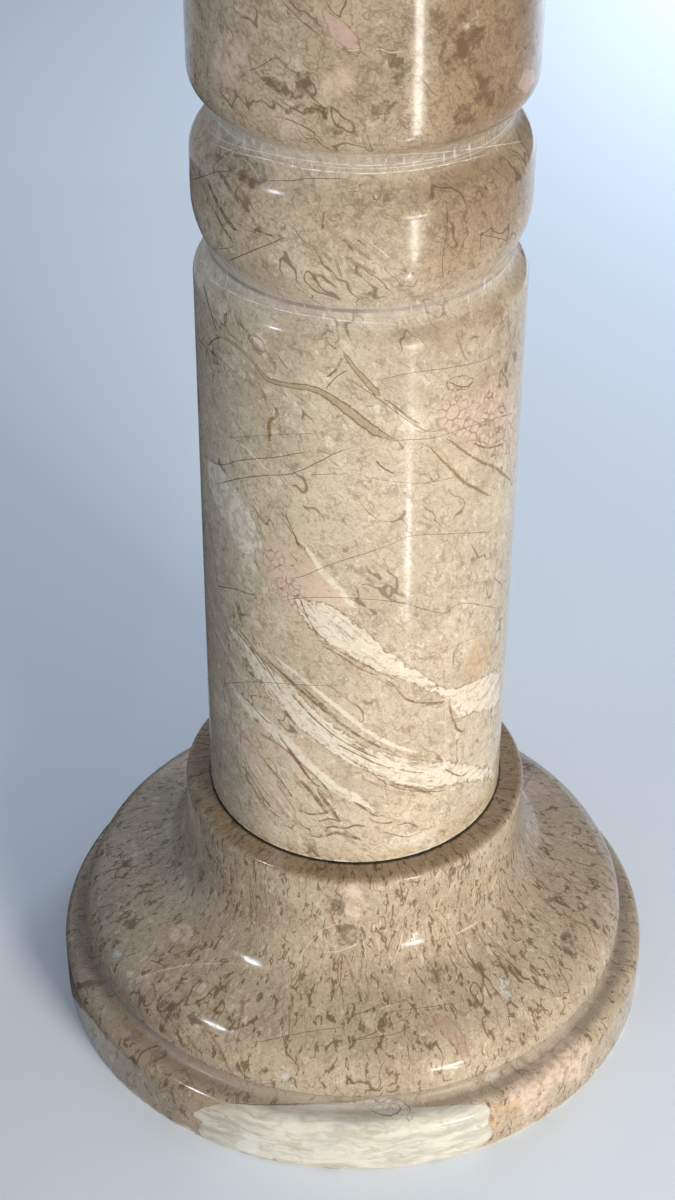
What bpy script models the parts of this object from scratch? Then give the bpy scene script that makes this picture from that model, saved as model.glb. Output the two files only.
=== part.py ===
"""Marble pedestal column in three turned stones: a moulded base, a banded shaft and a capital.

Run with blender --background --python part.py, or from the text editor.
Units are metres, +Z is up, and the origin is on the floor at the middle of the underside.
"""

import math

import bpy

# Every stone is turned about the Z axis. An arc gets one facet for each stretch of this angle.
TURN_STEPS = 52
ARC_FACET = math.radians(18)
AXIS_MERGE = 0.00001

# The two arcs of a bell may fill this share of the way between their centres. Past it they shrink in steps.
SWEEP_FILL = 0.97
SWEEP_SHRINK = 0.95

# Dry joints between the stones.
JOINT_GAP = 0.0003

# Shaft: a plain cylinder with two soft grooves that leave a rounded band between them.
SHAFT_RADIUS = 0.073
SHAFT_LENGTH = 0.668
SHAFT_END_ROUND = 0.0012
BAND_HEIGHT = 0.334           # middle of the band above the shaft's foot
BAND_LENGTH = 0.0655          # from the lower groove's bottom to the upper groove's bottom

LOWER_GROOVE_DEPTH = 0.0064
LOWER_GROOVE_RISE = 0.0250    # from its bottom up to the band's full radius
LOWER_GROOVE_DROP = 0.0150    # from its bottom down to the lower cylinder
LOWER_GROOVE_RISE_CONVEX = 0.75
LOWER_GROOVE_DROP_CONVEX = 0.35

UPPER_GROOVE_DEPTH = 0.0095
UPPER_GROOVE_RISE = 0.0165
UPPER_GROOVE_DROP = 0.0225
UPPER_GROOVE_RISE_CONVEX = 0.65
UPPER_GROOVE_DROP_CONVEX = 0.45

# Base: a round slab, a small cove, a bell that sweeps in to a neck, and a flat seat.
BASE_RADIUS = 0.153
BASE_HEIGHT = 0.130
SLAB_HEIGHT = 0.0305
SLAB_EDGE_ROUND = 0.0080
FOOT_CHAMFER = 0.0012
BELL_RADIUS = 0.1408
BELL_COVE_DEPTH = 0.0034
BELL_COVE_RISE = 0.0065       # from the cove's bottom up to the bell's full radius
BELL_COVE_ROUND = 0.0040      # hollow corner between the cove and the slab's top
BELL_COVE_CONVEX = 0.45
BELL_SHOULDER_ROUND = 0.0220
NECK_SWEEP_ROUND = 0.0330
NECK_LENGTH = 0.0260          # straight neck under the lip's rounded edge
NECK_LEDGE = 0.0125           # seat left free round the shaft's foot
NECK_LIP_ROUND = 0.0030

# Capital: the base's curves turned over, smaller and without the cove.
CAPITAL_RADIUS = 0.1340
CAPITAL_HEIGHT = 0.1120
CAPITAL_SLAB_HEIGHT = 0.0290
CAPITAL_EDGE_ROUND = 0.0070
CAPITAL_STEP = 0.0090         # the slab stands out this far past the bell
CAPITAL_SHOULDER_ROUND = 0.0180
CAPITAL_SWEEP_ROUND = 0.0270
CAPITAL_NECK_LENGTH = 0.0200
CAPITAL_NECK_LEDGE = 0.0100

# Marble: base colour, roughness.
BASE_STONE = ((0.42, 0.33, 0.24, 1.0), 0.22)
SHAFT_STONE = ((0.52, 0.43, 0.31, 1.0), 0.20)
CAPITAL_STONE = ((0.48, 0.39, 0.28, 1.0), 0.22)


def arc(centre, radius, start, end):
    """Points of an arc as (r, z), from one angle to another in degrees, 0 being straight out."""
    count = max(2, math.ceil(abs(math.radians(end - start)) / ARC_FACET))
    angles = [math.radians(start + (end - start) * i / count) for i in range(count + 1)]
    return [(centre[0] + radius * math.cos(a), centre[1] + radius * math.sin(a)) for a in angles]


def groove_side(face, bottom_z, depth, reach, convex, up):
    """One side of a groove, from the face to its bottom: a convex arc that runs into a hollow one.

    face is the radius of the cylinder, reach is the height from the groove's bottom to that face,
    and convex is the share of the curve that the outer arc takes.
    """
    turn = 2 * math.atan2(depth, reach)
    total = reach / math.sin(turn)
    outer, inner = convex * total, (1 - convex) * total
    degrees = math.degrees(turn)
    rounded = arc((face - outer, reach), outer, 0, -degrees)
    hollow = arc((face - depth + inner, 0), inner, 180 - degrees, 180)
    points = rounded + hollow[1:]
    return [(r, bottom_z + (z if up else -z)) for r, z in points]


def groove(face, bottom_z, depth, rise, rise_convex, drop, drop_convex):
    """A whole groove in a cylinder, from its upper edge down to its lower edge."""
    above = groove_side(face, bottom_z, depth, rise, rise_convex, True)
    below = groove_side(face, bottom_z, depth, drop, drop_convex, False)
    return above + below[::-1][1:]


def sweep(neck_radius, neck_z, bell_radius, bell_z, hollow, rounded):
    """The curve from an upright neck out and down to an upright bell side.

    A hollow arc starts at the neck and a rounded arc ends at the bell. A straight slope touches both,
    so the arcs are made smaller together where the bell is too low to hold them.
    """
    down = neck_z - bell_z
    across = bell_radius - rounded - neck_radius - hollow
    while hollow + rounded > SWEEP_FILL * math.hypot(across, down):
        hollow, rounded = SWEEP_SHRINK * hollow, SWEEP_SHRINK * rounded
        across = bell_radius - rounded - neck_radius - hollow
    lean = math.atan2(across, down) + math.asin((hollow + rounded) / math.hypot(across, down))
    turn = math.degrees(lean)
    inner = arc((neck_radius + hollow, neck_z), hollow, 180, 180 + turn)
    outer = arc((bell_radius - rounded, bell_z), rounded, turn, 0)
    return inner + outer


def base_profile():
    """The base's outline from the middle of its seat, down its outer side, to the middle of its foot."""
    neck_radius = SHAFT_RADIUS + NECK_LEDGE
    cove_z = SLAB_HEIGHT + BELL_COVE_ROUND
    bell_z = cove_z + BELL_COVE_RISE
    cove_radius = BELL_RADIUS - BELL_COVE_DEPTH
    neck_z = BASE_HEIGHT - NECK_LIP_ROUND - NECK_LENGTH
    lip = arc((neck_radius - NECK_LIP_ROUND, BASE_HEIGHT - NECK_LIP_ROUND), NECK_LIP_ROUND, 90, 0)
    bell = sweep(neck_radius, neck_z, BELL_RADIUS, bell_z, NECK_SWEEP_ROUND, BELL_SHOULDER_ROUND)
    cove = groove_side(BELL_RADIUS, cove_z, BELL_COVE_DEPTH, BELL_COVE_RISE, BELL_COVE_CONVEX, True)
    corner = arc((cove_radius + BELL_COVE_ROUND, cove_z), BELL_COVE_ROUND, 180, 270)
    edge = arc((BASE_RADIUS - SLAB_EDGE_ROUND, SLAB_HEIGHT - SLAB_EDGE_ROUND), SLAB_EDGE_ROUND, 90, 0)
    foot = [(BASE_RADIUS, FOOT_CHAMFER), (BASE_RADIUS - FOOT_CHAMFER, 0.0)]
    return [(0.0, BASE_HEIGHT)] + lip + bell + cove[1:] + corner[1:] + edge + foot + [(0.0, 0.0)]


def shaft_profile():
    """The shaft's outline from the middle of its head down to the middle of its foot."""
    foot_z = BASE_HEIGHT + JOINT_GAP
    head_z = foot_z + SHAFT_LENGTH
    band_z = foot_z + BAND_HEIGHT
    head = arc((SHAFT_RADIUS - SHAFT_END_ROUND, head_z - SHAFT_END_ROUND), SHAFT_END_ROUND, 90, 0)
    upper = groove(SHAFT_RADIUS, band_z + BAND_LENGTH / 2, UPPER_GROOVE_DEPTH, UPPER_GROOVE_RISE,
                   UPPER_GROOVE_RISE_CONVEX, UPPER_GROOVE_DROP, UPPER_GROOVE_DROP_CONVEX)
    lower = groove(SHAFT_RADIUS, band_z - BAND_LENGTH / 2, LOWER_GROOVE_DEPTH, LOWER_GROOVE_RISE,
                   LOWER_GROOVE_RISE_CONVEX, LOWER_GROOVE_DROP, LOWER_GROOVE_DROP_CONVEX)
    foot = arc((SHAFT_RADIUS - SHAFT_END_ROUND, foot_z + SHAFT_END_ROUND), SHAFT_END_ROUND, 0, -90)
    return [(0.0, head_z)] + head + upper + lower + foot + [(0.0, foot_z)]


def capital_profile():
    """The capital's outline from the middle of its top down to the middle of its underside."""
    foot_z = BASE_HEIGHT + JOINT_GAP + SHAFT_LENGTH + JOINT_GAP
    top_z = foot_z + CAPITAL_HEIGHT
    slab_z = top_z - CAPITAL_SLAB_HEIGHT
    neck_radius = SHAFT_RADIUS + CAPITAL_NECK_LEDGE
    bell_radius = CAPITAL_RADIUS - CAPITAL_STEP
    neck_z = foot_z + NECK_LIP_ROUND + CAPITAL_NECK_LENGTH
    top = arc((CAPITAL_RADIUS - CAPITAL_EDGE_ROUND, top_z - CAPITAL_EDGE_ROUND), CAPITAL_EDGE_ROUND, 90, 0)
    under = arc((CAPITAL_RADIUS - CAPITAL_EDGE_ROUND, slab_z + CAPITAL_EDGE_ROUND), CAPITAL_EDGE_ROUND, 0, -90)
    falling = sweep(neck_radius, -neck_z, bell_radius, -slab_z, CAPITAL_SWEEP_ROUND, CAPITAL_SHOULDER_ROUND)
    bell = [(r, -z) for r, z in falling][::-1]
    lip = arc((neck_radius - NECK_LIP_ROUND, foot_z + NECK_LIP_ROUND), NECK_LIP_ROUND, 0, -90)
    return [(0.0, top_z)] + top + under + bell + lip + [(0.0, foot_z)]


def marble(name, colour, roughness):
    """A polished stone of one colour."""
    material = bpy.data.materials.new(name)
    material.use_nodes = True
    shader = material.node_tree.nodes["Principled BSDF"]
    shader.inputs["Base Color"].default_value = colour
    shader.inputs["Roughness"].default_value = roughness
    shader.inputs["Metallic"].default_value = 0.0
    return material


def turned(name, profile, stone, collection):
    """An object turned about Z from a profile of (radius, height) points that runs top to bottom."""
    mesh = bpy.data.meshes.new(name)
    edges = [(i, i + 1) for i in range(len(profile) - 1)]
    mesh.from_pydata([(r, 0.0, z) for r, z in profile], edges, [])
    piece = bpy.data.objects.new(name, mesh)
    collection.objects.link(piece)
    screw = piece.modifiers.new("Turn", "SCREW")
    screw.axis = "Z"
    screw.angle = math.tau
    screw.steps = TURN_STEPS
    screw.render_steps = TURN_STEPS
    screw.use_merge_vertices = True
    screw.merge_threshold = AXIS_MERGE
    screw.use_smooth_shade = True
    mesh.materials.append(marble(name + "_marble", *stone))
    return piece


def build():
    for old in list(bpy.data.objects):
        bpy.data.objects.remove(old, do_unlink=True)
    collection = bpy.data.collections.new("marble_column")
    bpy.context.scene.collection.children.link(collection)
    turned("base", base_profile(), BASE_STONE, collection)
    turned("shaft", shaft_profile(), SHAFT_STONE, collection)
    turned("capital", capital_profile(), CAPITAL_STONE, collection)


build()
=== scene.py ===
# %% [markdown]
# # A marble pedestal column
# The column is three turned stones: a moulded base, a shaft with a rounded band, and a capital.
# The CAD model gives their sizes, and this lesson gives them their polish and their marble.

# %% Load the frame
import math

import bmesh
import bpy
import numpy as np
from mathutils import Matrix, Vector
from mathutils.bvhtree import BVHTree


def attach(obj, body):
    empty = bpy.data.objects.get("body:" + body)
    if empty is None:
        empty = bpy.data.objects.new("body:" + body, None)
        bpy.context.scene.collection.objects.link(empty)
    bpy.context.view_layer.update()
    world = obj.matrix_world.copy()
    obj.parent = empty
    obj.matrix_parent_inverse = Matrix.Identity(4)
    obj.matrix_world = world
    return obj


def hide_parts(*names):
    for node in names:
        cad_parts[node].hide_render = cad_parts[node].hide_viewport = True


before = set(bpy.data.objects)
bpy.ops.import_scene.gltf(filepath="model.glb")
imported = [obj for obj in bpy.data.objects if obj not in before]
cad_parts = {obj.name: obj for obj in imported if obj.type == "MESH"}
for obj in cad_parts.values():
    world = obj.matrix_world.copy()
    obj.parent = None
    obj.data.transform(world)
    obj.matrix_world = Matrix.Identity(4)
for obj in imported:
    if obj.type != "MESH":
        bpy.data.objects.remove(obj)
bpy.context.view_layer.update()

# %% [markdown]
# ## The camera
# The photograph was taken from close by, less than a metre away and 0.9 m up, looking down at the column's foot.
# Its place was worked out from the slab's outline and from the shaft's two sides, which draw together downwards.
# A camera in Blender looks along its own -Z, so three axes, written as the columns of a matrix, turn it.

# %% Set up the camera
PHOTO_SIZE = (675, 1200)
FOCAL_PIXELS = 2350.0
SENSOR_WIDTH = 36.0                     # in mm
CAMERA_PLACE = Vector((0.0, -0.9036, 0.9157))
CAMERA_PITCH = math.radians(37.01)      # downwards
CAMERA_YAW = math.radians(-0.588)
CAMERA_ROLL = math.radians(0.353)

level = Vector((math.cos(CAMERA_YAW), -math.sin(CAMERA_YAW), 0.0))
ahead = Vector((math.sin(CAMERA_YAW) * math.cos(CAMERA_PITCH),
                math.cos(CAMERA_YAW) * math.cos(CAMERA_PITCH), -math.sin(CAMERA_PITCH)))
above = level.cross(ahead)
camera_right = math.cos(CAMERA_ROLL) * level + math.sin(CAMERA_ROLL) * above
camera_up = math.cos(CAMERA_ROLL) * above - math.sin(CAMERA_ROLL) * level

lens = bpy.data.cameras.new("photo_camera")
lens.sensor_width = SENSOR_WIDTH
lens.lens = FOCAL_PIXELS * lens.sensor_width / max(PHOTO_SIZE)
camera = bpy.data.objects.new("photo_camera", lens)
bpy.context.scene.collection.objects.link(camera)
turn = Matrix((camera_right, camera_up, -ahead)).transposed()
camera.matrix_world = Matrix.Translation(CAMERA_PLACE) @ turn.to_4x4()
bpy.context.scene.camera = camera
print("lens of", round(lens.lens, 1), "mm")


def photo_ray(x, y):
    """The direction from the camera through a pixel of the photograph."""
    right, down = (x - PHOTO_SIZE[0] / 2) / FOCAL_PIXELS, (y - PHOTO_SIZE[1] / 2) / FOCAL_PIXELS
    return (ahead + right * camera_right - down * camera_up).normalized()


# %% [markdown]
# ## Floor and light
# A pale floor fills the whole picture, because the camera looks down.
# A warm lamp at the front right, low as a window is, lights the stone, and the pale room fills the shadows. A wash of
# light brightens the floor behind on the right, and a weak fill lifts the upper left.
# Polished marble shows its gloss only where something bright is mirrored in it. Panels are there for that: gloss alone
# sees them, and they light nothing. An upright shaft mirrors what is low, because the camera looks down, so strips that
# lie on the floor draw the lines of light on it, and the panels that stand up draw the spots on the base.

# %% Lay the floor
FLOOR_RADIUS = 7.0
FLOOR_COLOUR = (0.76, 0.83, 0.92, 1.0)
FLOOR_EDGES = 96
FLOOR_ROUGHNESS = 0.8

floor_mesh = bpy.data.meshes.new("floor")
floor_build = bmesh.new()
bmesh.ops.create_circle(floor_build, cap_ends=True, segments=FLOOR_EDGES, radius=FLOOR_RADIUS)
floor_build.to_mesh(floor_mesh)
floor_build.free()
floor = bpy.data.objects.new("floor", floor_mesh)
bpy.context.scene.collection.objects.link(floor)
floor_paint = bpy.data.materials.new("pale_floor")
floor_paint.use_nodes = True
floor_shader = floor_paint.node_tree.nodes["Principled BSDF"]
floor_shader.inputs["Base Color"].default_value = FLOOR_COLOUR
floor_shader.inputs["Roughness"].default_value = FLOOR_ROUGHNESS
floor_mesh.materials.append(floor_paint)

# %% Light the stone
WORLD_COLOUR = (0.80, 0.88, 1.0, 1.0)
WORLD_STRENGTH = 0.42

world = bpy.data.worlds.new("pale_room")
world.use_nodes = True
world.node_tree.nodes["Background"].inputs["Color"].default_value = WORLD_COLOUR
world.node_tree.nodes["Background"].inputs["Strength"].default_value = WORLD_STRENGTH
bpy.context.scene.world = world
bpy.context.scene.view_settings.view_transform = "Standard"


def round_column(turned, away, height):
    """A place by its direction (degrees to the right of the front), its distance from the axis and its height."""
    angle = math.radians(turned)
    return Vector((away * math.sin(angle), -away * math.cos(angle), height))


def lamp(name, place, aim, size, power, colour, lights=True, shines=True):
    """A rectangular area light at a place, turned to a point. Its size is (width, length)."""
    light = bpy.data.lights.new(name, "AREA")
    light.shape = "RECTANGLE"
    light.size, light.size_y = size
    light.energy = power
    light.color = colour
    shown = bpy.data.objects.new(name, light)
    bpy.context.scene.collection.objects.link(shown)
    shown.location = place
    shown.rotation_euler = (aim - place).to_track_quat("-Z", "Y").to_euler()
    shown.visible_camera = False
    shown.visible_diffuse = lights
    shown.visible_glossy = shines
    return shown


WARM, WHITE, COOL = (1.0, 0.90, 0.76), (1.0, 0.97, 0.92), (0.80, 0.90, 1.0)
KEY_FAN = 80.0                # the key's light fans out this many degrees, so the column's head gets less of it
WASH_FAN = 64.0               # the wash brightens the floor behind, and misses the stone
FILL_FAN = 40.0               # the fill lights the upper left alone
WINDOW_SIDE = 34.0            # degrees to the right of the front
STRIP_LIFT = 0.004            # the strips lie this far above the floor
key = lamp("key", round_column(31, 1.5, 0.50), Vector((0, 0, 0.08)), (0.45, 0.5), 5.3, WARM, shines=False)
key.data.spread = math.radians(KEY_FAN)
wash = lamp("wash", Vector((1.3, 2.0, 0.8)), Vector((0.75, 1.35, 0.0)), (0.9, 0.5), 9.0, COOL, shines=False)
wash.data.spread = math.radians(WASH_FAN)
fill = lamp("fill", Vector((-1.2, -0.8, 1.2)), Vector((0, 0, 0.72)), (0.5, 0.5), 0.5, COOL, shines=False)
fill.data.spread = math.radians(FILL_FAN)
lamp("window", round_column(WINDOW_SIDE, 2.4, 0.17), Vector((0, 0, 0.17)), (0.50, 0.22), 7.5, WHITE, lights=False)
lamp("side_panel", round_column(-64, 1.2, 1.35), Vector((0, 0, 0.15)), (0.16, 0.20), 3.4, COOL, lights=False)


def floor_strip(name, near, far, width, power):
    """A strip light that lies on the floor and faces up, from one distance to another."""
    place = round_column(WINDOW_SIDE, (near + far) / 2, STRIP_LIFT)
    strip = lamp(name, place, Vector((0, 0, 1.0)), (width, far - near), power, WHITE, lights=False)
    strip.rotation_euler = (math.pi, 0.0, math.radians(WINDOW_SIDE))


floor_strip("strip_near", 0.44, 0.58, 0.022, 0.22)
floor_strip("strip_middle", 0.60, 0.86, 0.040, 0.16)
floor_strip("strip_ring", 0.86, 1.12, 0.070, 1.1)
floor_strip("strip_far", 1.12, 1.70, 0.105, 4.6)

# The room is dim on the column's left: a black mat on the floor there, which only the polish sees, stands for that.
DUSK_BLACK = (0.03, 0.03, 0.03, 1.0)
DUSK_MAT = [(-1.2, -0.5, 0.002), (-0.17, -0.5, 0.002), (-0.10, 0.9, 0.002), (-1.2, 0.9, 0.002)]
mat_mesh = bpy.data.meshes.new("dusk_mat")
mat_mesh.from_pydata(DUSK_MAT, [], [(0, 1, 2, 3)])
dusk_mat = bpy.data.objects.new("dusk_mat", mat_mesh)
bpy.context.scene.collection.objects.link(dusk_mat)
dusk_paint = bpy.data.materials.new("dusk")
dusk_paint.use_nodes = True
dusk_paint.node_tree.nodes["Principled BSDF"].inputs["Base Color"].default_value = DUSK_BLACK
mat_mesh.materials.append(dusk_paint)
dusk_mat.visible_camera = dusk_mat.visible_diffuse = dusk_mat.visible_shadow = False
print("floor", FLOOR_RADIUS * 2, "m across and nine lamps")

# %% [markdown]
# ## The stones' outlines
# A mason turns each stone against a template. The template's edge is drawn here as points (radius, height), from the
# middle of the stone's top, down its side, to the middle of its underside. It has the CAD model's sizes.
# Two arcs that touch make each groove, and two arcs with a slope between them make the bell.

# %% Sizes of the three stones
JOINT_GAP = 0.0003
SHAFT_RADIUS = 0.073
SHAFT_LENGTH = 0.668
SHAFT_END_ROUND = 0.0012
BAND_HEIGHT = 0.334           # middle of the band above the shaft's foot
BAND_LENGTH = 0.0655          # from the lower groove's bottom to the upper groove's bottom
LOWER_GROOVE = dict(depth=0.0064, rise=0.0250, rise_convex=0.75, drop=0.0150, drop_convex=0.35)
UPPER_GROOVE = dict(depth=0.0095, rise=0.0165, rise_convex=0.65, drop=0.0225, drop_convex=0.45)

BASE_RADIUS, BASE_HEIGHT = 0.153, 0.130
SLAB_HEIGHT, SLAB_EDGE_ROUND, FOOT_CHAMFER = 0.0305, 0.0080, 0.0012
BELL_RADIUS, BELL_SHOULDER_ROUND = 0.1408, 0.0220
BELL_COVE = dict(depth=0.0034, reach=0.0065, convex=0.45)
BELL_COVE_ROUND = 0.0040
NECK_SWEEP_ROUND, NECK_LENGTH, NECK_LEDGE, NECK_LIP_ROUND = 0.0330, 0.0260, 0.0125, 0.0030

CAPITAL_RADIUS, CAPITAL_HEIGHT = 0.1340, 0.1120
CAPITAL_SLAB_HEIGHT, CAPITAL_EDGE_ROUND, CAPITAL_STEP = 0.0290, 0.0070, 0.0090
CAPITAL_SHOULDER_ROUND, CAPITAL_SWEEP_ROUND = 0.0180, 0.0270
CAPITAL_NECK_LENGTH, CAPITAL_NECK_LEDGE = 0.0200, 0.0100

SHAFT_FOOT = BASE_HEIGHT + JOINT_GAP
SHAFT_HEAD = SHAFT_FOOT + SHAFT_LENGTH
CAPITAL_FOOT = SHAFT_HEAD + JOINT_GAP
CAPITAL_TOP = CAPITAL_FOOT + CAPITAL_HEIGHT
BAND_MIDDLE = SHAFT_FOOT + BAND_HEIGHT
UPPER_GROOVE_Z = BAND_MIDDLE + BAND_LENGTH / 2
LOWER_GROOVE_Z = BAND_MIDDLE - BAND_LENGTH / 2
print("column", round(CAPITAL_TOP * 1000, 1), "mm high, band at", round(BAND_MIDDLE * 1000, 1))

# %% Arcs, grooves and sweeps
ARC_FACET = 5.0               # degrees
SWEEP_FILL, SWEEP_SHRINK = 0.97, 0.95


def arc(centre, radius, start, end):
    """Points of an arc, from one angle to another in degrees, 0 being straight out."""
    count = max(3, math.ceil(abs(end - start) / ARC_FACET))
    angles = [math.radians(start + (end - start) * i / count) for i in range(count + 1)]
    return [(centre[0] + radius * math.cos(a), centre[1] + radius * math.sin(a)) for a in angles]


def groove_side(face, bottom_z, depth, reach, convex, up):
    """One side of a groove, from the face to its bottom: a convex arc that runs into a hollow one."""
    bend = 2 * math.atan2(depth, reach)
    total = reach / math.sin(bend)
    outer, inner = convex * total, (1 - convex) * total
    degrees = math.degrees(bend)
    rounded = arc((face - outer, reach), outer, 0, -degrees)
    hollow = arc((face - depth + inner, 0), inner, 180 - degrees, 180)
    return [(r, bottom_z + (z if up else -z)) for r, z in rounded + hollow[1:]]


def groove(face, bottom_z, depth, rise, rise_convex, drop, drop_convex):
    """A whole groove in a cylinder, from its upper edge down to its lower edge."""
    upper = groove_side(face, bottom_z, depth, rise, rise_convex, True)
    lower = groove_side(face, bottom_z, depth, drop, drop_convex, False)
    return upper + lower[::-1][1:]


def sweep(neck_radius, neck_z, bell_radius, bell_z, hollow, rounded):
    """The curve from an upright neck out and down to an upright bell side."""
    down, across = neck_z - bell_z, bell_radius - rounded - neck_radius - hollow
    while hollow + rounded > SWEEP_FILL * math.hypot(across, down):
        hollow, rounded = SWEEP_SHRINK * hollow, SWEEP_SHRINK * rounded
        across = bell_radius - rounded - neck_radius - hollow
    lean = math.atan2(across, down) + math.asin((hollow + rounded) / math.hypot(across, down))
    inner = arc((neck_radius + hollow, neck_z), hollow, 180, 180 + math.degrees(lean))
    outer = arc((bell_radius - rounded, bell_z), rounded, math.degrees(lean), 0)
    return inner + outer


# %% The three outlines
LONGEST_STEP = 0.0030         # a stretch of an outline's side is cut into steps no longer than this
END_STEP = 0.012              # and the flat ends, which lie against another stone or the floor, no longer than this


def stepped(points):
    """The outline with its long straight stretches cut up, so that the marble's veins stay sharp on it."""
    out = [points[0]]
    for a, b in zip(points[:-1], points[1:]):
        length = math.hypot(b[0] - a[0], b[1] - a[1])
        if length < 1e-6:
            continue
        on_end = a[0] == 0.0 or b[0] == 0.0
        count = max(1, math.ceil(length / (END_STEP if on_end else LONGEST_STEP)))
        out += [(a[0] + (b[0] - a[0]) * i / count, a[1] + (b[1] - a[1]) * i / count) for i in range(1, count + 1)]
    return out


def base_outline():
    neck_radius = SHAFT_RADIUS + NECK_LEDGE
    cove_z = SLAB_HEIGHT + BELL_COVE_ROUND
    bell_z = cove_z + BELL_COVE["reach"]
    cove_radius = BELL_RADIUS - BELL_COVE["depth"]
    neck_z = BASE_HEIGHT - NECK_LIP_ROUND - NECK_LENGTH
    lip = arc((neck_radius - NECK_LIP_ROUND, BASE_HEIGHT - NECK_LIP_ROUND), NECK_LIP_ROUND, 90, 0)
    bell = sweep(neck_radius, neck_z, BELL_RADIUS, bell_z, NECK_SWEEP_ROUND, BELL_SHOULDER_ROUND)
    cove = groove_side(BELL_RADIUS, cove_z, up=True, **BELL_COVE)
    corner = arc((cove_radius + BELL_COVE_ROUND, cove_z), BELL_COVE_ROUND, 180, 270)
    edge = arc((BASE_RADIUS - SLAB_EDGE_ROUND, SLAB_HEIGHT - SLAB_EDGE_ROUND), SLAB_EDGE_ROUND, 90, 0)
    foot = [(BASE_RADIUS, FOOT_CHAMFER), (BASE_RADIUS - FOOT_CHAMFER, 0.0)]
    return stepped([(0.0, BASE_HEIGHT)] + lip + bell + cove[1:] + corner[1:] + edge + foot + [(0.0, 0.0)])


def shaft_outline():
    rim = SHAFT_RADIUS - SHAFT_END_ROUND
    head = arc((rim, SHAFT_HEAD - SHAFT_END_ROUND), SHAFT_END_ROUND, 90, 0)
    upper = groove(SHAFT_RADIUS, UPPER_GROOVE_Z, **UPPER_GROOVE)
    lower = groove(SHAFT_RADIUS, LOWER_GROOVE_Z, **LOWER_GROOVE)
    foot = arc((rim, SHAFT_FOOT + SHAFT_END_ROUND), SHAFT_END_ROUND, 0, -90)
    return stepped([(0.0, SHAFT_HEAD)] + head + upper + lower + foot + [(0.0, SHAFT_FOOT)])


def capital_outline():
    slab_z = CAPITAL_TOP - CAPITAL_SLAB_HEIGHT
    neck_radius = SHAFT_RADIUS + CAPITAL_NECK_LEDGE
    neck_z = CAPITAL_FOOT + NECK_LIP_ROUND + CAPITAL_NECK_LENGTH
    rim = CAPITAL_RADIUS - CAPITAL_EDGE_ROUND
    top = arc((rim, CAPITAL_TOP - CAPITAL_EDGE_ROUND), CAPITAL_EDGE_ROUND, 90, 0)
    under = arc((rim, slab_z + CAPITAL_EDGE_ROUND), CAPITAL_EDGE_ROUND, 0, -90)
    falling = sweep(neck_radius, -neck_z, CAPITAL_RADIUS - CAPITAL_STEP, -slab_z,
                    CAPITAL_SWEEP_ROUND, CAPITAL_SHOULDER_ROUND)
    bell = [(r, -z) for r, z in falling][::-1]
    lip = arc((neck_radius - NECK_LIP_ROUND, CAPITAL_FOOT + NECK_LIP_ROUND), NECK_LIP_ROUND, 0, -90)
    return stepped([(0.0, CAPITAL_TOP)] + top + under + bell + lip + [(0.0, CAPITAL_FOOT)])


print("points in the outlines:", len(base_outline()), len(shaft_outline()), len(capital_outline()))

# %% [markdown]
# ## Turning a stone with Geometry Nodes
# A lathe does one thing: it carries an outline round an axis. A Screw modifier could do that, but a node tree can do
# more on the way. It bends a flat grid round the axis, with one row for each point of the outline. It knocks small
# chips out of the arrises, as years of moving have done. It also keeps, at each point, how far round and how far
# along the outline it lies, and the materials follow that.

# %% Build the tree
CHIPS_BEGIN, CHIPS_FULL = 0.58, 0.72    # where in the noise an arris begins to chip, and where a chip is deepest
WELD = 0.00002                # the seam and the poles close over this distance, in metres


def wire(tree, made, values):
    """Sets a node's inputs. A value that is a socket is linked, and any other is typed in."""
    for key, value in values.items():
        if isinstance(value, bpy.types.NodeSocket):
            tree.links.new(value, made.inputs[key])
        else:
            made.inputs[key].default_value = value
    return made


def add(tree, kind, values=None, **settings):
    """A new node with its settings and inputs."""
    made = tree.nodes.new(kind)
    for key, value in settings.items():
        setattr(made, key, value)
    return wire(tree, made, values or {})


def sums(tree, operation, a, b=0.0, c=0.0):
    """One Math node's result."""
    return add(tree, "ShaderNodeMath", {0: a, 1: b, 2: c}, operation=operation).outputs[0]


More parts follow.
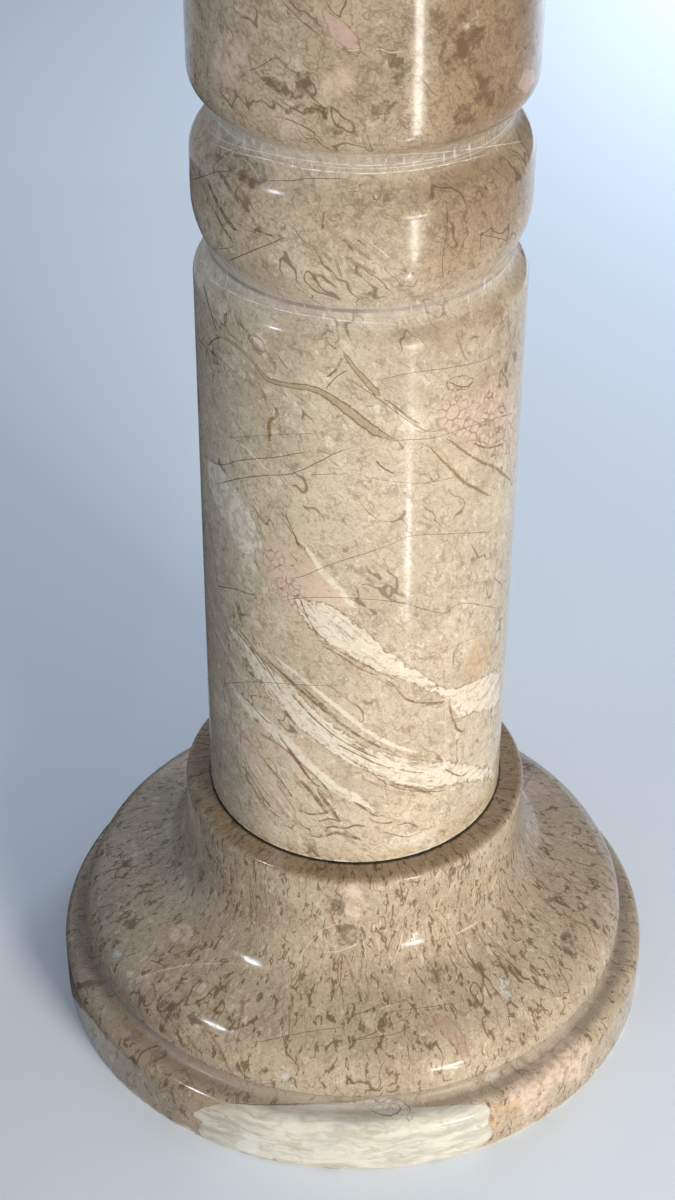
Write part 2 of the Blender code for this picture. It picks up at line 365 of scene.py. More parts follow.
def turning_tree():
    tree = bpy.data.node_groups.new("turn_a_stone", "GeometryNodeTree")
    sockets = tree.interface
    sockets.new_socket("Outline", in_out="INPUT", socket_type="NodeSocketGeometry")
    for name, kind in (("Facets", "Int"), ("Wrap Radius", "Float"), ("Chip Depth", "Float"),
                       ("Chip Scale", "Float"), ("Seed", "Float"), ("Stone", "Material")):
        sockets.new_socket(name, in_out="INPUT", socket_type="NodeSocket" + kind)
    sockets.new_socket("Stone", in_out="OUTPUT", socket_type="NodeSocketGeometry")
    given = tree.nodes.new("NodeGroupInput").outputs

    rows = add(tree, "GeometryNodeAttributeDomainSize", {0: given["Outline"]}).outputs["Point Count"]
    columns = sums(tree, "ADD", given["Facets"], 1.0)
    grid = add(tree, "GeometryNodeMeshGrid", {"Vertices X": columns, "Vertices Y": rows}).outputs["Mesh"]
    flat = add(tree, "ShaderNodeSeparateXYZ", {0: tree.nodes.new("GeometryNodeInputPosition").outputs[0]}).outputs
    last_row = sums(tree, "SUBTRACT", rows, 1.0)
    row = sums(tree, "ROUND", sums(tree, "MULTIPLY", sums(tree, "ADD", flat["Y"], 0.5), last_row))

    def from_outline(value, data_type):
        return add(tree, "GeometryNodeSampleIndex", {"Geometry": given["Outline"], "Value": value, "Index": row},
                   data_type=data_type, domain="POINT").outputs[0]

    def kept(name):
        named = add(tree, "GeometryNodeInputNamedAttribute", {"Name": name}, data_type="FLOAT").outputs[0]
        return from_outline(named, "FLOAT")

    outline_point = from_outline(tree.nodes.new("GeometryNodeInputPosition").outputs[0], "FLOAT_VECTOR")
    edge = add(tree, "ShaderNodeSeparateXYZ", {0: outline_point}).outputs
    angle = sums(tree, "MULTIPLY", flat["X"], math.tau)
    sine, backwards = sums(tree, "SINE", angle), sums(tree, "MULTIPLY", sums(tree, "COSINE", angle), -1.0)

    def around(radius, height):
        x, y = sums(tree, "MULTIPLY", sine, radius), sums(tree, "MULTIPLY", backwards, radius)
        return add(tree, "ShaderNodeCombineXYZ", {"X": x, "Y": y, "Z": height}).outputs[0]

    chips = add(tree, "ShaderNodeTexNoise", {"Vector": around(edge["X"], edge["Z"]), "W": given["Seed"],
                                             "Scale": given["Chip Scale"], "Detail": 2.0},
                noise_dimensions="4D").outputs[0]
    bites = add(tree, "ShaderNodeMapRange", {"Value": chips, "From Min": CHIPS_BEGIN, "From Max": CHIPS_FULL},
                interpolation_type="SMOOTHSTEP").outputs[0]
    loss = sums(tree, "MULTIPLY", sums(tree, "MULTIPLY", bites, given["Chip Depth"]), kept("arris"))
    wrapped = add(tree, "GeometryNodeStoreNamedAttribute", {
        "Geometry": grid, "Name": "wrap", "Value": around(given["Wrap Radius"], kept("along"))},
        data_type="FLOAT_VECTOR", domain="POINT").outputs[0]
    turned = add(tree, "GeometryNodeSetPosition", {"Geometry": wrapped, "Position": around(
        sums(tree, "SUBTRACT", edge["X"], loss), edge["Z"])}).outputs[0]
    closed = add(tree, "GeometryNodeMergeByDistance", {"Geometry": turned, "Distance": WELD}).outputs[0]
    smooth = add(tree, "GeometryNodeSetShadeSmooth", {"Geometry": closed}).outputs[0]
    outward = add(tree, "GeometryNodeFlipFaces", {"Mesh": smooth}).outputs[0]
    real = add(tree, "GeometryNodeRealizeInstances", {0: outward}).outputs[0]
    dressed = add(tree, "GeometryNodeSetMaterial", {"Geometry": real, "Material": given["Stone"]}).outputs[0]
    tree.links.new(dressed, tree.nodes.new("NodeGroupOutput").inputs[0])
    return tree


TURNING = turning_tree()
print("the turning tree has", len(TURNING.nodes), "nodes")

# %% Turn the three stones
BASE_FACETS, SHAFT_FACETS, CAPITAL_FACETS = 540, 300, 420
BASE_WRAP, CAPITAL_WRAP = 0.128, 0.115
CHIP_DEPTH, CHIP_SCALE = 0.0016, 120.0
ARRIS_REACH = 0.0045          # chips reach this far from an arris, along the outline


def along_outline(points):
    """How far each point of an outline lies from its start, along it."""
    steps = np.hypot(*np.diff(np.array(points), axis=0).T)
    return np.concatenate([[0.0], np.cumsum(steps)])


def turned_stone(name, points, facets, wrap, arrises, seed):
    """A stone turned from its outline, as a plain mesh. Chips fall at the heights given as arrises."""
    outline = np.array(points)
    along = along_outline(points)
    mesh = bpy.data.meshes.new(name)
    mesh.from_pydata([(r, 0.0, z) for r, z in points], [(i, i + 1) for i in range(len(points) - 1)], [])
    arris = np.zeros(len(points))
    for radius, z in arrises:
        nearest = np.hypot(outline[:, 0] - radius, outline[:, 1] - z).argmin()
        arris = np.maximum(arris, np.clip(1 - np.abs(along - along[nearest]) / ARRIS_REACH, 0, 1))
    for kind, values in (("along", along), ("arris", arris)):
        mesh.attributes.new(kind, "FLOAT", "POINT").data.foreach_set("value", values)
    stone = bpy.data.objects.new(name, mesh)
    bpy.context.scene.collection.objects.link(stone)
    material = bpy.data.materials.new(name + "_marble")
    material.use_nodes = True
    lathe = stone.modifiers.new("Turning", "NODES")
    lathe.node_group = TURNING
    given = {"Facets": facets, "Wrap Radius": wrap, "Chip Depth": CHIP_DEPTH, "Chip Scale": CHIP_SCALE,
             "Seed": seed, "Stone": material}
    for item in TURNING.interface.items_tree:
        if item.in_out == "INPUT" and item.name in given:
            lathe[item.identifier] = given[item.name]
    finished = bpy.data.meshes.new_from_object(stone.evaluated_get(bpy.context.evaluated_depsgraph_get()))
    stone.modifiers.remove(lathe)
    stone.data = finished
    bpy.data.meshes.remove(mesh)
    finished.name = name
    finished.materials.clear()
    finished.materials.append(material)
    return stone


base_stone = turned_stone("base_stone", base_outline(), BASE_FACETS, BASE_WRAP,
                          [(BASE_RADIUS, FOOT_CHAMFER)], 3.0)
shaft_stone = turned_stone("shaft_stone", shaft_outline(), SHAFT_FACETS, SHAFT_RADIUS,
                           [(SHAFT_RADIUS, SHAFT_FOOT + SHAFT_END_ROUND)], 5.0)
capital_stone = turned_stone("capital_stone", capital_outline(), CAPITAL_FACETS, CAPITAL_WRAP,
                             [(CAPITAL_RADIUS, CAPITAL_TOP - CAPITAL_SLAB_HEIGHT)], 8.0)
for stone in (base_stone, shaft_stone, capital_stone):
    check = bmesh.new()
    check.from_mesh(stone.data)
    open_edges = sum(not e.is_manifold for e in check.edges)
    triangles = sum(len(f.verts) - 2 for f in check.faces)
    print(stone.name, triangles, "triangles,", open_edges, "open edges, volume",
          round(check.calc_volume(signed=True) * 1e6), "cm3")
    check.free()

# %% [markdown]
# ## Where a vein lies on the stone
# Each vein, band and inclusion that the photograph shows is written as a list of pixels. A ray from the camera through
# each pixel finds the place on the stone, and that place is kept unrolled: how far round, and how far along the
# outline.
# The mesh then carries a field for each kind of vein: the distance to the nearest one, counted in half widths. A
# distance changes evenly from point to point, so a vein much thinner than a face still comes out sharp.

# %% From a pixel to the stone


class Surface:
    """A stone's points unrolled: how far round, and how far along its outline, in millimetres."""

    def __init__(self, stone, points, wrap):
        self.mesh, self.wrap = stone.data, wrap * 1000
        self.outline, self.along = np.array(points), along_outline(points) * 1000
        count = len(self.mesh.vertices)
        place = np.empty(count * 3)
        self.mesh.vertices.foreach_get("co", place)
        place = place.reshape(-1, 3)
        kept = np.empty(count * 3)
        self.mesh.attributes["wrap"].data.foreach_get("vector", kept)
        round_by = np.arctan2(place[:, 0], -place[:, 1]) * self.wrap
        self.flat = np.stack([round_by, kept.reshape(-1, 3)[:, 2] * 1000], 1)
        faces = [tuple(f.vertices) for f in self.mesh.polygons]
        self.tree = BVHTree.FromPolygons([tuple(p) for p in place], faces)

    def outline_place(self, radius, z):
        """How far along the outline the nearest point to (radius, z) lies."""
        start, step = self.outline[:-1], np.diff(self.outline, axis=0)
        aim = np.array([radius, z]) - start
        share = np.clip((aim * step).sum(1) / (step ** 2).sum(1), 0, 1)
        nearest = ((aim - share[:, None] * step) ** 2).sum(1).argmin()
        return self.along[nearest] + share[nearest] * (self.along[nearest + 1] - self.along[nearest])

    def seen(self, pixels, closed=False):
        """A line of pixels as unrolled places, its corners eased and its long steps divided."""
        places = []
        for x, y in eased(pixels, closed):
            hit = self.tree.ray_cast(CAMERA_PLACE, photo_ray(x, y))[0]
            if hit is not None:
                along = self.outline_place(math.hypot(hit.x, hit.y), hit.z)
                places.append((math.atan2(hit.x, -hit.y) * self.wrap, along))
        return np.array(places)

    def hidden(self, turns, closed=False):
        """A line given as (degrees round from the front, millimetres above the floor), for what isn't seen."""
        places = eased([(a * TURN_STRETCH, z) for a, z in turns], closed)
        return np.array([(math.radians(a / TURN_STRETCH) * self.wrap,
                          self.outline_place(self.nearest_radius(z), z / 1000)) for a, z in places])

    def round_trip(self, line):
        """The line, and once more a full turn back where it runs on past the back of the stone."""
        turn_length = math.tau * self.wrap
        copies = [line]
        if line[:, 0].max() > turn_length / 2:
            copies.append(line - (turn_length, 0))
        if line[:, 0].min() < -turn_length / 2:
            copies.append(line + (turn_length, 0))
        return copies

    def nearest_radius(self, z):
        outer = self.outline[1:-1]
        return outer[np.abs(outer[:, 1] - z / 1000).argmin(), 0]

    def keep(self, name, values):
        self.mesh.attributes.new(name, "FLOAT", "POINT").data.foreach_set("value", values.astype(np.float32))


EASE_STEP = 7.0               # a line's longest step, in pixels, before it is laid on the stone
CORNER_CUT = 0.22             # how far along a step its corner is cut
TURN_STRETCH = 2.0            # degrees are counted double while a line is eased, because a pixel is finer


def eased(points, closed=False):
    """The line with its corners cut twice and its long steps divided."""
    line = [tuple(map(float, p)) for p in points]
    for _ in range(2):
        ring = line + line[:1] if closed else line
        cut = [] if closed else [line[0]]
        for (ax, ay), (bx, by) in zip(ring[:-1], ring[1:]):
            cut += [((1 - t) * ax + t * bx, (1 - t) * ay + t * by) for t in (CORNER_CUT, 1 - CORNER_CUT)]
        line = cut if closed else cut + [line[-1]]
    if closed:
        line.append(line[0])
    out = [line[0]]
    for (ax, ay), (bx, by) in zip(line[:-1], line[1:]):
        count = max(1, math.ceil(math.hypot(bx - ax, by - ay) / EASE_STEP))
        out += [(ax + (bx - ax) * i / count, ay + (by - ay) * i / count) for i in range(1, count + 1)]
    return out


# %% Fields for lines and patches
FAR = 1000.0
LINE_REACH = 5.0              # a line's field is kept within this many millimetres of it
WIDTH_MARGIN = 1.6            # and this many of its half widths more
LINE_ROOM = 4.5               # two lines closer than this go into different layers
THIN_END = 0.04               # a line's half width at its ends, as a share of its own
TAPER = 9                     # a line thins over a ninth of its length at each end
PATCH_REACH = 12.0            # millimetres from a patch's edge within which its field is kept


def nearest_on(line, points):
    """Distance from points to a line, with a sign for the side, and the share of its length gone there."""
    best, side = np.full(len(points), np.inf), np.zeros(len(points))
    share = np.zeros(len(points))
    lengths = along_outline(line)
    for i, (a, b) in enumerate(zip(line[:-1], line[1:])):
        step = b - a
        size = step @ step
        if size < 1e-12:
            continue
        t = np.clip(((points - a) @ step) / size, 0, 1)
        off = points - a - t[:, None] * step
        distance = np.hypot(off[:, 0], off[:, 1])
        closer = distance < best
        best[closer] = distance[closer]
        side[closer] = np.sign(step[0] * off[closer, 1] - step[1] * off[closer, 0])
        share[closer] = (lengths[i] + t[closer] * (lengths[i + 1] - lengths[i])) / lengths[-1]
    return best, side, share


def lay_lines(surface, kind, lines):
    """Writes the fields of one kind of vein, with lines that come near one another in layers of their own.

    Each line is (unrolled places, half widths in millimetres from its start to its end).
    """
    layers = []
    for line, widths in [(copy, np.array(widths, float)) for line, widths in lines
                         for copy in surface.round_trip(line)]:
        margin = LINE_REACH + WIDTH_MARGIN * widths.max()
        low, high = line.min(0) - margin, line.max(0) + margin
        near = np.flatnonzero(((surface.flat > low) & (surface.flat < high)).all(1))
        distance, side, share = nearest_on(line, surface.flat[near])
        half = np.interp(share, np.linspace(0, 1, len(widths)), widths)
        taper = np.clip(np.minimum(share, 1 - share) * TAPER, THIN_END, 1)
        field = side * distance / (half * taper)
        field[distance > margin] = FAR
        room = near[distance < max(LINE_ROOM, widths.max() + LINE_ROOM / 2)]
        for layer in layers:
            if (layer[room] == FAR).all():
                break
        else:
            layer = np.full(len(surface.flat), FAR)
            layers.append(layer)
        empty = layer[near] == FAR
        layer[near[empty]] = field[empty]
    for i, layer in enumerate(layers):
        surface.keep(f"{kind}_{i}", layer)
    print(kind, len(lines), "lines in", len(layers), "layers")
    return [f"{kind}_{i}" for i in range(len(layers))]


def lay_patches(surface, kind, outlines):
    """Writes one field for closed outlines: the distance to the nearest edge in millimetres, below 0 inside."""
    field = np.full(len(surface.flat), PATCH_REACH)
    for outline in [copy for outline in outlines for copy in surface.round_trip(outline)]:
        low, high = outline.min(0) - PATCH_REACH, outline.max(0) + PATCH_REACH
        near = np.flatnonzero(((surface.flat > low) & (surface.flat < high)).all(1))
        points = surface.flat[near]
        distance = nearest_on(outline, points)[0]
        inside = np.zeros(len(points), bool)
        for (ax, ay), (bx, by) in zip(outline[:-1], outline[1:]):
            if ay != by:
                crosses = (ay > points[:, 1]) != (by > points[:, 1])
                inside ^= crosses & (points[:, 0] < ax + (points[:, 1] - ay) * (bx - ax) / (by - ay))
        signed = np.where(inside, -distance, distance)
        field[near] = np.minimum(field[near], signed)
    surface.keep(kind, field)
    print(kind, len(outlines), "patches")
    return kind


def seen_lines(surface, kind, lines):
    """Lays lines that the photograph shows, each as (pixels, half widths)."""
    return lay_lines(surface, kind, [(surface.seen(line), widths) for line, widths in lines])


def hidden_lines(surface, kind, lines):
    """Lays lines that the photograph doesn't show, each as (degrees and millimetres, half widths)."""
    return lay_lines(surface, kind, [(surface.hidden(line), widths) for line, widths in lines])


def seen_patches(surface, kind, outlines):
    """Lays patches that the photograph shows, each as a closed outline in pixels."""
    return lay_patches(surface, kind, [surface.seen(outline, True) for outline in outlines])


def hidden_patches(surface, kind, outlines):
    """Lays patches that it doesn't show, each as a closed outline in degrees and millimetres."""
    return lay_patches(surface, kind, [surface.hidden(outline, True) for outline in outlines])


shaft = Surface(shaft_stone, shaft_outline(), SHAFT_RADIUS)
base = Surface(base_stone, base_outline(), BASE_WRAP)
capital = Surface(capital_stone, capital_outline(), CAPITAL_WRAP)

# %% [markdown]
# ## The shaft's veins and bands
# This marble is a beige limestone mud that broke and healed many times. The cracks filled with calcite: cream where it
# is clean, olive and ochre where iron came with it. Cream bands cross the shaft's foot, and hair cracks run across
# everything. Pink and brown pieces of other stone are set in it.
# Each line below is its pixels and then its half widths in millimetres, from its start to its end.

# %% Trace the shaft's hair cracks
cracks = [
    ([(203, 283), (210, 310), (218, 336)], [0.42, 0.50]),
    ([(198, 338), (207, 349), (224, 362), (240, 378)], [0.28, 0.14]),
    ([(207, 347), (213, 340), (222, 336)], [0.3]),
    ([(190, 181), (207, 175), (218, 171), (227, 172), (237, 167)], [0.20]),
    ([(262, 180), (290, 181), (311, 178), (346, 179)], [0.18]),
    ([(227, 261), (238, 257), (262, 247), (288, 236)], [0.22]),
    ([(212, 249), (224, 249), (235, 246)], [0.16]),
    ([(446, 196), (448, 225), (442, 261), (443, 281)], [0.16]),
    ([(472, 233), (489, 236), (507, 240), (511, 246)], [0.14]),
    ([(277, 55), (260, 67), (246, 72)], [0.16]),
    ([(324, 390), (337, 376), (349, 369)], [0.22]),
    ([(371, 381), (388, 378), (409, 373), (443, 369), (481, 362), (500, 352)], [0.15]),
    ([(226, 438), (268, 435), (324, 433)], [0.10]),
    ([(207, 457), (215, 464), (225, 465), (239, 460), (281, 457), (298, 453), (315, 451)], [0.18]),
    ([(215, 485), (239, 478), (268, 475), (288, 475), (302, 470), (319, 462), (337, 452), (358, 446)], [0.20]),
    ([(307, 475), (330, 474), (350, 474)], [0.12]),
    ([(362, 476), (379, 480), (417, 484), (439, 481), (464, 475)], [0.12]),
    ([(379, 441), (403, 440), (430, 439), (445, 435), (471, 426), (515, 412)], [0.14]),
    ([(345, 376), (360, 386), (377, 398), (400, 415), (424, 432)], [0.16]),
    ([(287, 579), (302, 577), (322, 568), (343, 560), (367, 553)], [0.15]),
    ([(338, 562), (367, 553), (392, 544), (410, 535), (445, 534), (494, 532)], [0.14]),
    ([(216, 586), (237, 589), (251, 595), (259, 594)], [0.24]),
    ([(278, 602), (296, 598), (326, 597), (351, 598), (380, 600), (404, 603), (429, 611), (446, 614), (453, 607),
      (463, 602), (486, 606), (500, 609)], [0.15]),
    ([(416, 664), (445, 651), (490, 630)], [0.12]),
    ([(222, 684), (241, 682), (261, 682), (300, 685), (339, 686)], [0.14]),
    ([(369, 745), (385, 736), (400, 724)], [0.10]),
    ([(374, 458), (380, 466), (388, 471), (398, 476)], [0.35]),
    ([(284, 510), (292, 530), (300, 548)], [0.20]),
]
crack_layers = seen_lines(shaft, "crack", cracks)

# %% Trace the grey strokes on the left of the band, and the turning marks in the grooves
grey_strokes = [
    ([(205, 175), (214, 196), (226, 219), (239, 235)], [0.9, 1.3, 1.0]),
    ([(218, 170), (231, 191), (246, 211), (257, 225)], [0.8, 1.1, 0.6]),
    ([(228, 166), (242, 176), (257, 191)], [1.3, 1.8, 1.0]),
    ([(211, 205), (222, 225), (235, 246)], [0.8]),
    ([(233, 156), (242, 155), (252, 165)], [0.8]),
    ([(253, 229), (273, 236), (288, 244)], [0.5]),
]
stroke_layers = seen_lines(shaft, "stroke", grey_strokes)
scratch_lines = [
    ([(331, 155), (385, 155), (439, 153), (494, 146), (528, 140)], [0.16]),
    ([(210, 142), (233, 152), (262, 158), (298, 168), (331, 172), (374, 174), (418, 170), (450, 164), (494, 153)],
     [0.22]),
    ([(205, 128), (222, 141), (250, 150), (290, 158), (331, 164), (374, 166), (418, 162), (462, 154)], [0.14]),
    ([(203, 275), (240, 298), (290, 313), (350, 322), (400, 324)], [0.22, 0.16]),
]
scratch_layers = seen_lines(shaft, "scratch", scratch_lines)

# %% Trace the olive and ochre veins
OLIVE_VEIN = [(218, 337), (226, 338), (234, 344), (247, 355), (260, 371), (268, 381), (292, 386), (313, 388),
              (328, 396), (349, 411), (366, 425), (379, 434), (398, 441)]
olive_lines = [
    (OLIVE_VEIN, [0.6, 0.7, 0.8, 1.0, 1.2, 1.5, 2.0, 1.9, 1.2]),
    ([(341, 349), (354, 368), (366, 381), (381, 398)], [0.6, 1.0, 1.5]),
    ([(384, 397), (409, 419), (426, 433), (452, 428)], [0.3, 0.2, 0.15]),
    ([(455, 330), (462, 352), (470, 365)], [0.3]),
    ([(235, 212), (225, 224), (219, 236)], [0.35]),
    ([(232, 177), (240, 190), (248, 203)], [0.5, 0.3]),
    ([(340, 235), (350, 244), (361, 253), (376, 264)], [0.55, 0.45, 0.3]),
    ([(350, 261), (362, 267), (379, 275)], [0.5]),
    ([(333, 253), (338, 266), (342, 279)], [0.4]),
]
olive_layers = seen_lines(shaft, "olive", olive_lines)

ochre_lines = [
    ([(442, 435), (452, 442), (462, 450), (477, 460), (495, 467), (512, 482)], [0.35, 0.6, 0.9, 0.4]),
    ([(424, 440), (437, 455), (454, 472), (464, 483), (479, 490), (492, 498)], [0.2, 0.45, 0.8, 0.7, 0.4]),
    ([(275, 402), (276, 409), (278, 416), (269, 420), (268, 428), (270, 436), (269, 443)], [0.7, 1.0, 0.9, 1.1, 0.8]),
]
ochre_layers = seen_lines(shaft, "ochre", ochre_lines)

# %% Trace the brown lines
brown_lines = [
    ([(314, 639), (330, 646), (343, 653), (362, 663), (380, 672)], [0.3, 0.45, 0.6, 0.4]),
    ([(300, 684), (316, 700), (330, 712), (343, 723)], [0.5, 0.9, 0.7]),
    ([(253, 729), (268, 738), (281, 746), (298, 760), (312, 773), (327, 788), (334, 803)], [0.3, 0.6, 0.5, 0.7, 0.5]),
    ([(304, 833), (312, 836), (322, 837), (332, 833), (340, 832), (352, 834), (364, 831)], [0.5, 0.9, 0.6]),
    ([(449, 706), (452, 718), (457, 731)], [0.6, 0.5, 0.3]),
    ([(422, 706), (434, 704), (445, 703)], [0.5]),
    ([(384, 786), (400, 784), (418, 789), (434, 796)], [0.4, 0.8, 0.5]),
    ([(347, 742), (360, 748), (374, 756)], [0.5]),
    ([(277, 703), (287, 714), (296, 727)], [0.5]),
    ([(490, 25), (475, 33), (462, 41), (468, 54), (474, 67), (483, 85), (491, 98), (494, 111)],
     [1.4, 1.8, 2.2, 1.8, 1.4, 1.0, 0.8]),
    ([(470, 50), (455, 57), (440, 66)], [1.2, 1.0, 0.4]),
    ([(400, 684), (392, 678), (380, 672)], [0.3]),
    ([(484, 0), (472, 11), (459, 19), (450, 30), (460, 44), (472, 59), (482, 80), (489, 103)],
     [0.8, 1.0, 1.7, 2.0, 1.4, 1.1, 0.8]),
    ([(451, 31), (444, 46), (439, 64), (453, 80)], [1.3, 0.9, 0.4]),
    ([(472, 59), (470, 73), (476, 91), (483, 104)], [0.7, 0.5]),
    ([(492, 18), (501, 22), (517, 19)], [0.8]),
    ([(384, 123), (388, 111), (394, 103), (400, 100)], [0.9, 1.2, 0.5]),
    ([(374, 110), (385, 111), (392, 117)], [0.9]),
    ([(272, 115), (290, 120), (308, 128), (321, 139)], [0.4]),
    ([(283, 115), (297, 106), (308, 104)], [0.9]),
    ([(453, 83), (463, 91), (460, 104)], [0.4]),
    ([(324, 210), (322, 229), (325, 249)], [0.4]),
    ([(341, 237), (348, 244), (356, 254)], [0.6]),
    ([(354, 237), (370, 249), (387, 263)], [0.45]),
    ([(453, 131), (460, 122), (462, 110)], [0.5]),
    ([(470, 127), (474, 118), (476, 106)], [0.5]),
    ([(303, 546), (308, 556), (316, 566)], [0.4]),
]
brown_layers = seen_lines(shaft, "brown", brown_lines)

# %% Trace the shaft's cream bands
BAND_ONE = [(291, 594), (304, 601), (321, 602), (338, 609), (355, 622), (373, 639), (388, 651), (404, 660), (419, 673),
            (434, 683), (452, 690), (469, 684), (486, 676), (500, 669), (500, 700), (491, 712), (478, 710), (462, 718),
            (452, 710), (448, 699), (434, 692), (419, 686), (399, 677), (382, 674), (364, 667), (352, 658), (340, 649),
            (329, 642), (316, 636), (307, 624), (299, 609)]
BAND_TWO = [(228, 622), (242, 637), (260, 658), (277, 674), (288, 683), (304, 700), (321, 715), (338, 730),
            (356, 742), (373, 750), (395, 757), (417, 760), (434, 763), (452, 763), (478, 766), (495, 768),
            (495, 781), (473, 780), (452, 785), (434, 789), (417, 788), (399, 785), (382, 778), (364, 770), (343, 759),
            (325, 746), (308, 735), (292, 722), (279, 709), (268, 694), (255, 674), (242, 655), (232, 637)]
shaft_bands = seen_patches(shaft, "band", [BAND_ONE, BAND_TWO])
GREY_START = [(205, 453), (223, 471), (238, 492), (251, 514), (259, 534), (264, 553), (242, 556), (230, 532),
              (217, 508), (209, 484)]
shaft_grey = seen_patches(shaft, "grey", [GREY_START])
shaft_pebbly = seen_patches(shaft, "pebbly", [
    [(434, 412), (462, 396), (512, 388), (516, 458), (494, 452), (468, 444), (448, 432)],
    [(274, 578), (288, 574), (304, 590), (318, 604), (316, 630), (300, 616), (284, 600)],
    [(450, 692), (470, 682), (500, 674), (502, 694), (478, 708), (458, 712)],
    [(250, 549), (276, 546), (290, 562), (280, 574), (258, 572)]])
strand_lines = [
    ([(230, 681), (237, 694), (249, 708), (262, 719), (276, 732), (292, 747), (307, 763), (321, 777), (340, 791),
      (358, 799), (375, 812)], [2.0, 3.4, 3.4, 2.8, 2.2, 2.6, 1.6]),
    ([(266, 648), (284, 664), (303, 679), (321, 694), (338, 708), (358, 724), (377, 738), (395, 746), (417, 754)],
     [0.8, 1.2, 1.0]),
    ([(216, 628), (224, 646), (234, 664), (242, 681)], [0.5]),
    ([(238, 440), (255, 457), (271, 475)], [0.4]),
]
strand_layers = seen_lines(shaft, "strand", strand_lines)

# %% Trace the brown seams along the bands
seam_lines = [
    ([(234, 624), (247, 639), (260, 657), (275, 681), (284, 696)], [0.44]),
    ([(273, 664), (290, 680), (304, 693), (321, 708), (340, 723), (360, 737), (377, 746), (395, 753)],
     [0.5, 0.8, 0.7, 0.5]),
    ([(287, 689), (307, 712), (329, 732), (347, 744), (369, 755), (382, 760)], [0.42]),
    ([(334, 742), (356, 754), (377, 764), (395, 770)], [0.36]),
    ([(338, 751), (357, 764), (373, 771)], [0.40]),
    ([(382, 781), (399, 789), (421, 792), (447, 791)], [0.35]),
    ([(314, 642), (329, 649), (343, 657), (352, 664), (364, 671), (382, 677)], [0.25, 0.5, 0.3]),
    ([(382, 677), (395, 685), (403, 698), (417, 703), (434, 703), (447, 702)], [0.3, 0.7, 0.5]),
    ([(448, 700), (452, 716), (457, 730), (465, 733)], [0.5, 0.7]),
    ([(299, 594), (304, 611), (316, 633), (329, 643)], [0.39]),
    ([(321, 829), (334, 826), (345, 829), (358, 824), (369, 829)], [0.4, 0.7, 0.4]),
    ([(316, 788), (325, 801), (334, 812), (341, 824)], [0.8, 1.1, 0.6]),
    ([(279, 735), (288, 748), (299, 764), (309, 778), (321, 790)], [0.5, 0.8, 0.5]),
    ([(377, 830), (391, 834), (408, 838), (425, 830)], [0.3]),
    ([(343, 829), (356, 838), (365, 841)], [0.5]),
    ([(242, 694), (252, 705), (262, 717), (273, 727)], [0.4]),
    ([(235, 628), (243, 639), (255, 655), (268, 674)], [0.40]),
    ([(260, 651), (277, 669), (295, 686), (304, 695)], [0.42]),
    ([(395, 768), (408, 772), (425, 773)], [0.40]),
    ([(443, 768), (452, 773), (461, 777), (469, 772)], [0.4]),
    ([(246, 335), (255, 347), (264, 355)], [0.4]),
    ([(343, 353), (340, 364), (334, 372), (324, 380)], [0.5]),
    ([(325, 335), (329, 345), (339, 350)], [0.35]),
    ([(273, 348), (282, 362), (291, 373)], [0.3]),
    ([(382, 396), (404, 413), (422, 427)], [0.42]),
    ([(469, 342), (474, 335), (481, 340)], [0.4]),
    ([(447, 379), (457, 387), (469, 387), (474, 379)], [0.35]),
    ([(471, 442), (486, 449), (504, 444)], [0.5]),
    ([(297, 808), (310, 815), (325, 813), (338, 806)], [0.4, 0.8, 0.4]),
    ([(322, 838), (335, 832), (350, 836), (362, 842)], [0.5, 0.9, 0.5]),
    ([(318, 822), (330, 818), (344, 823)], [0.5]),
    ([(350, 800), (362, 806), (372, 815), (384, 818)], [0.4, 0.7, 0.4]),
    ([(366, 818), (380, 824), (396, 822)], [0.5]),
    ([(290, 818), (302, 826), (314, 832)], [0.5]),
    ([(240, 762), (252, 778), (262, 796), (275, 812)], [0.5]),
    ([(258, 752), (270, 768), (284, 784), (294, 800)], [0.4, 0.7, 0.4]),
    ([(396, 826), (408, 822), (420, 828)], [0.45]),
    ([(296, 776), (310, 790), (322, 806), (330, 818)], [0.6, 1.2, 0.7]),
]
seam_layers = seen_lines(shaft, "seam", seam_lines)

# %% Trace the pale threads
pale_lines = [
    ([(223, 724), (234, 737), (251, 759), (266, 781), (282, 803), (295, 820), (304, 831)], [0.3, 0.4, 0.5, 0.35]),
    ([(343, 49), (351, 51), (363, 49)], [0.2]),
    ([(370, 51), (380, 48), (389, 53), (399, 52), (409, 48)], [0.22]),
    ([(242, 157), (253, 168), (260, 181)], [0.25]),
    ([(304, 543), (318, 567), (339, 590), (358, 612)], [1.2, 1.5, 1.3]),
    ([(250, 332), (257, 342), (264, 352)], [0.5]),
    ([(368, 241), (380, 250), (392, 260)], [0.3]),
    ([(275, 762), (285, 786), (298, 800)], [0.4]),
    ([(445, 684), (446, 720), (445, 772)], [0.15]),
]
pale_layers = seen_lines(shaft, "pale", pale_lines)

# %% Trace the shaft's inclusions
WOBBLE = [1.0, 0.72, 1.14, 0.80, 1.10, 0.94, 0.70, 1.12, 0.82, 1.06, 0.88]    # a blob's reach, turn by turn


def blob(x, y, width, height, lean=0.0):
    """A rough oval round a middle, in pixels or in degrees and millimetres, that leans by an angle in degrees."""
    cosine, sine = math.cos(math.radians(lean)), math.sin(math.radians(lean))
    out = []
    for i, reach in enumerate(WOBBLE):
        a = math.tau * i / len(WOBBLE)
        u, v = reach * width / 2 * math.cos(a), reach * height / 2 * math.sin(a)
        out.append((x + u * cosine - v * sine, y + u * sine + v * cosine))
    return out


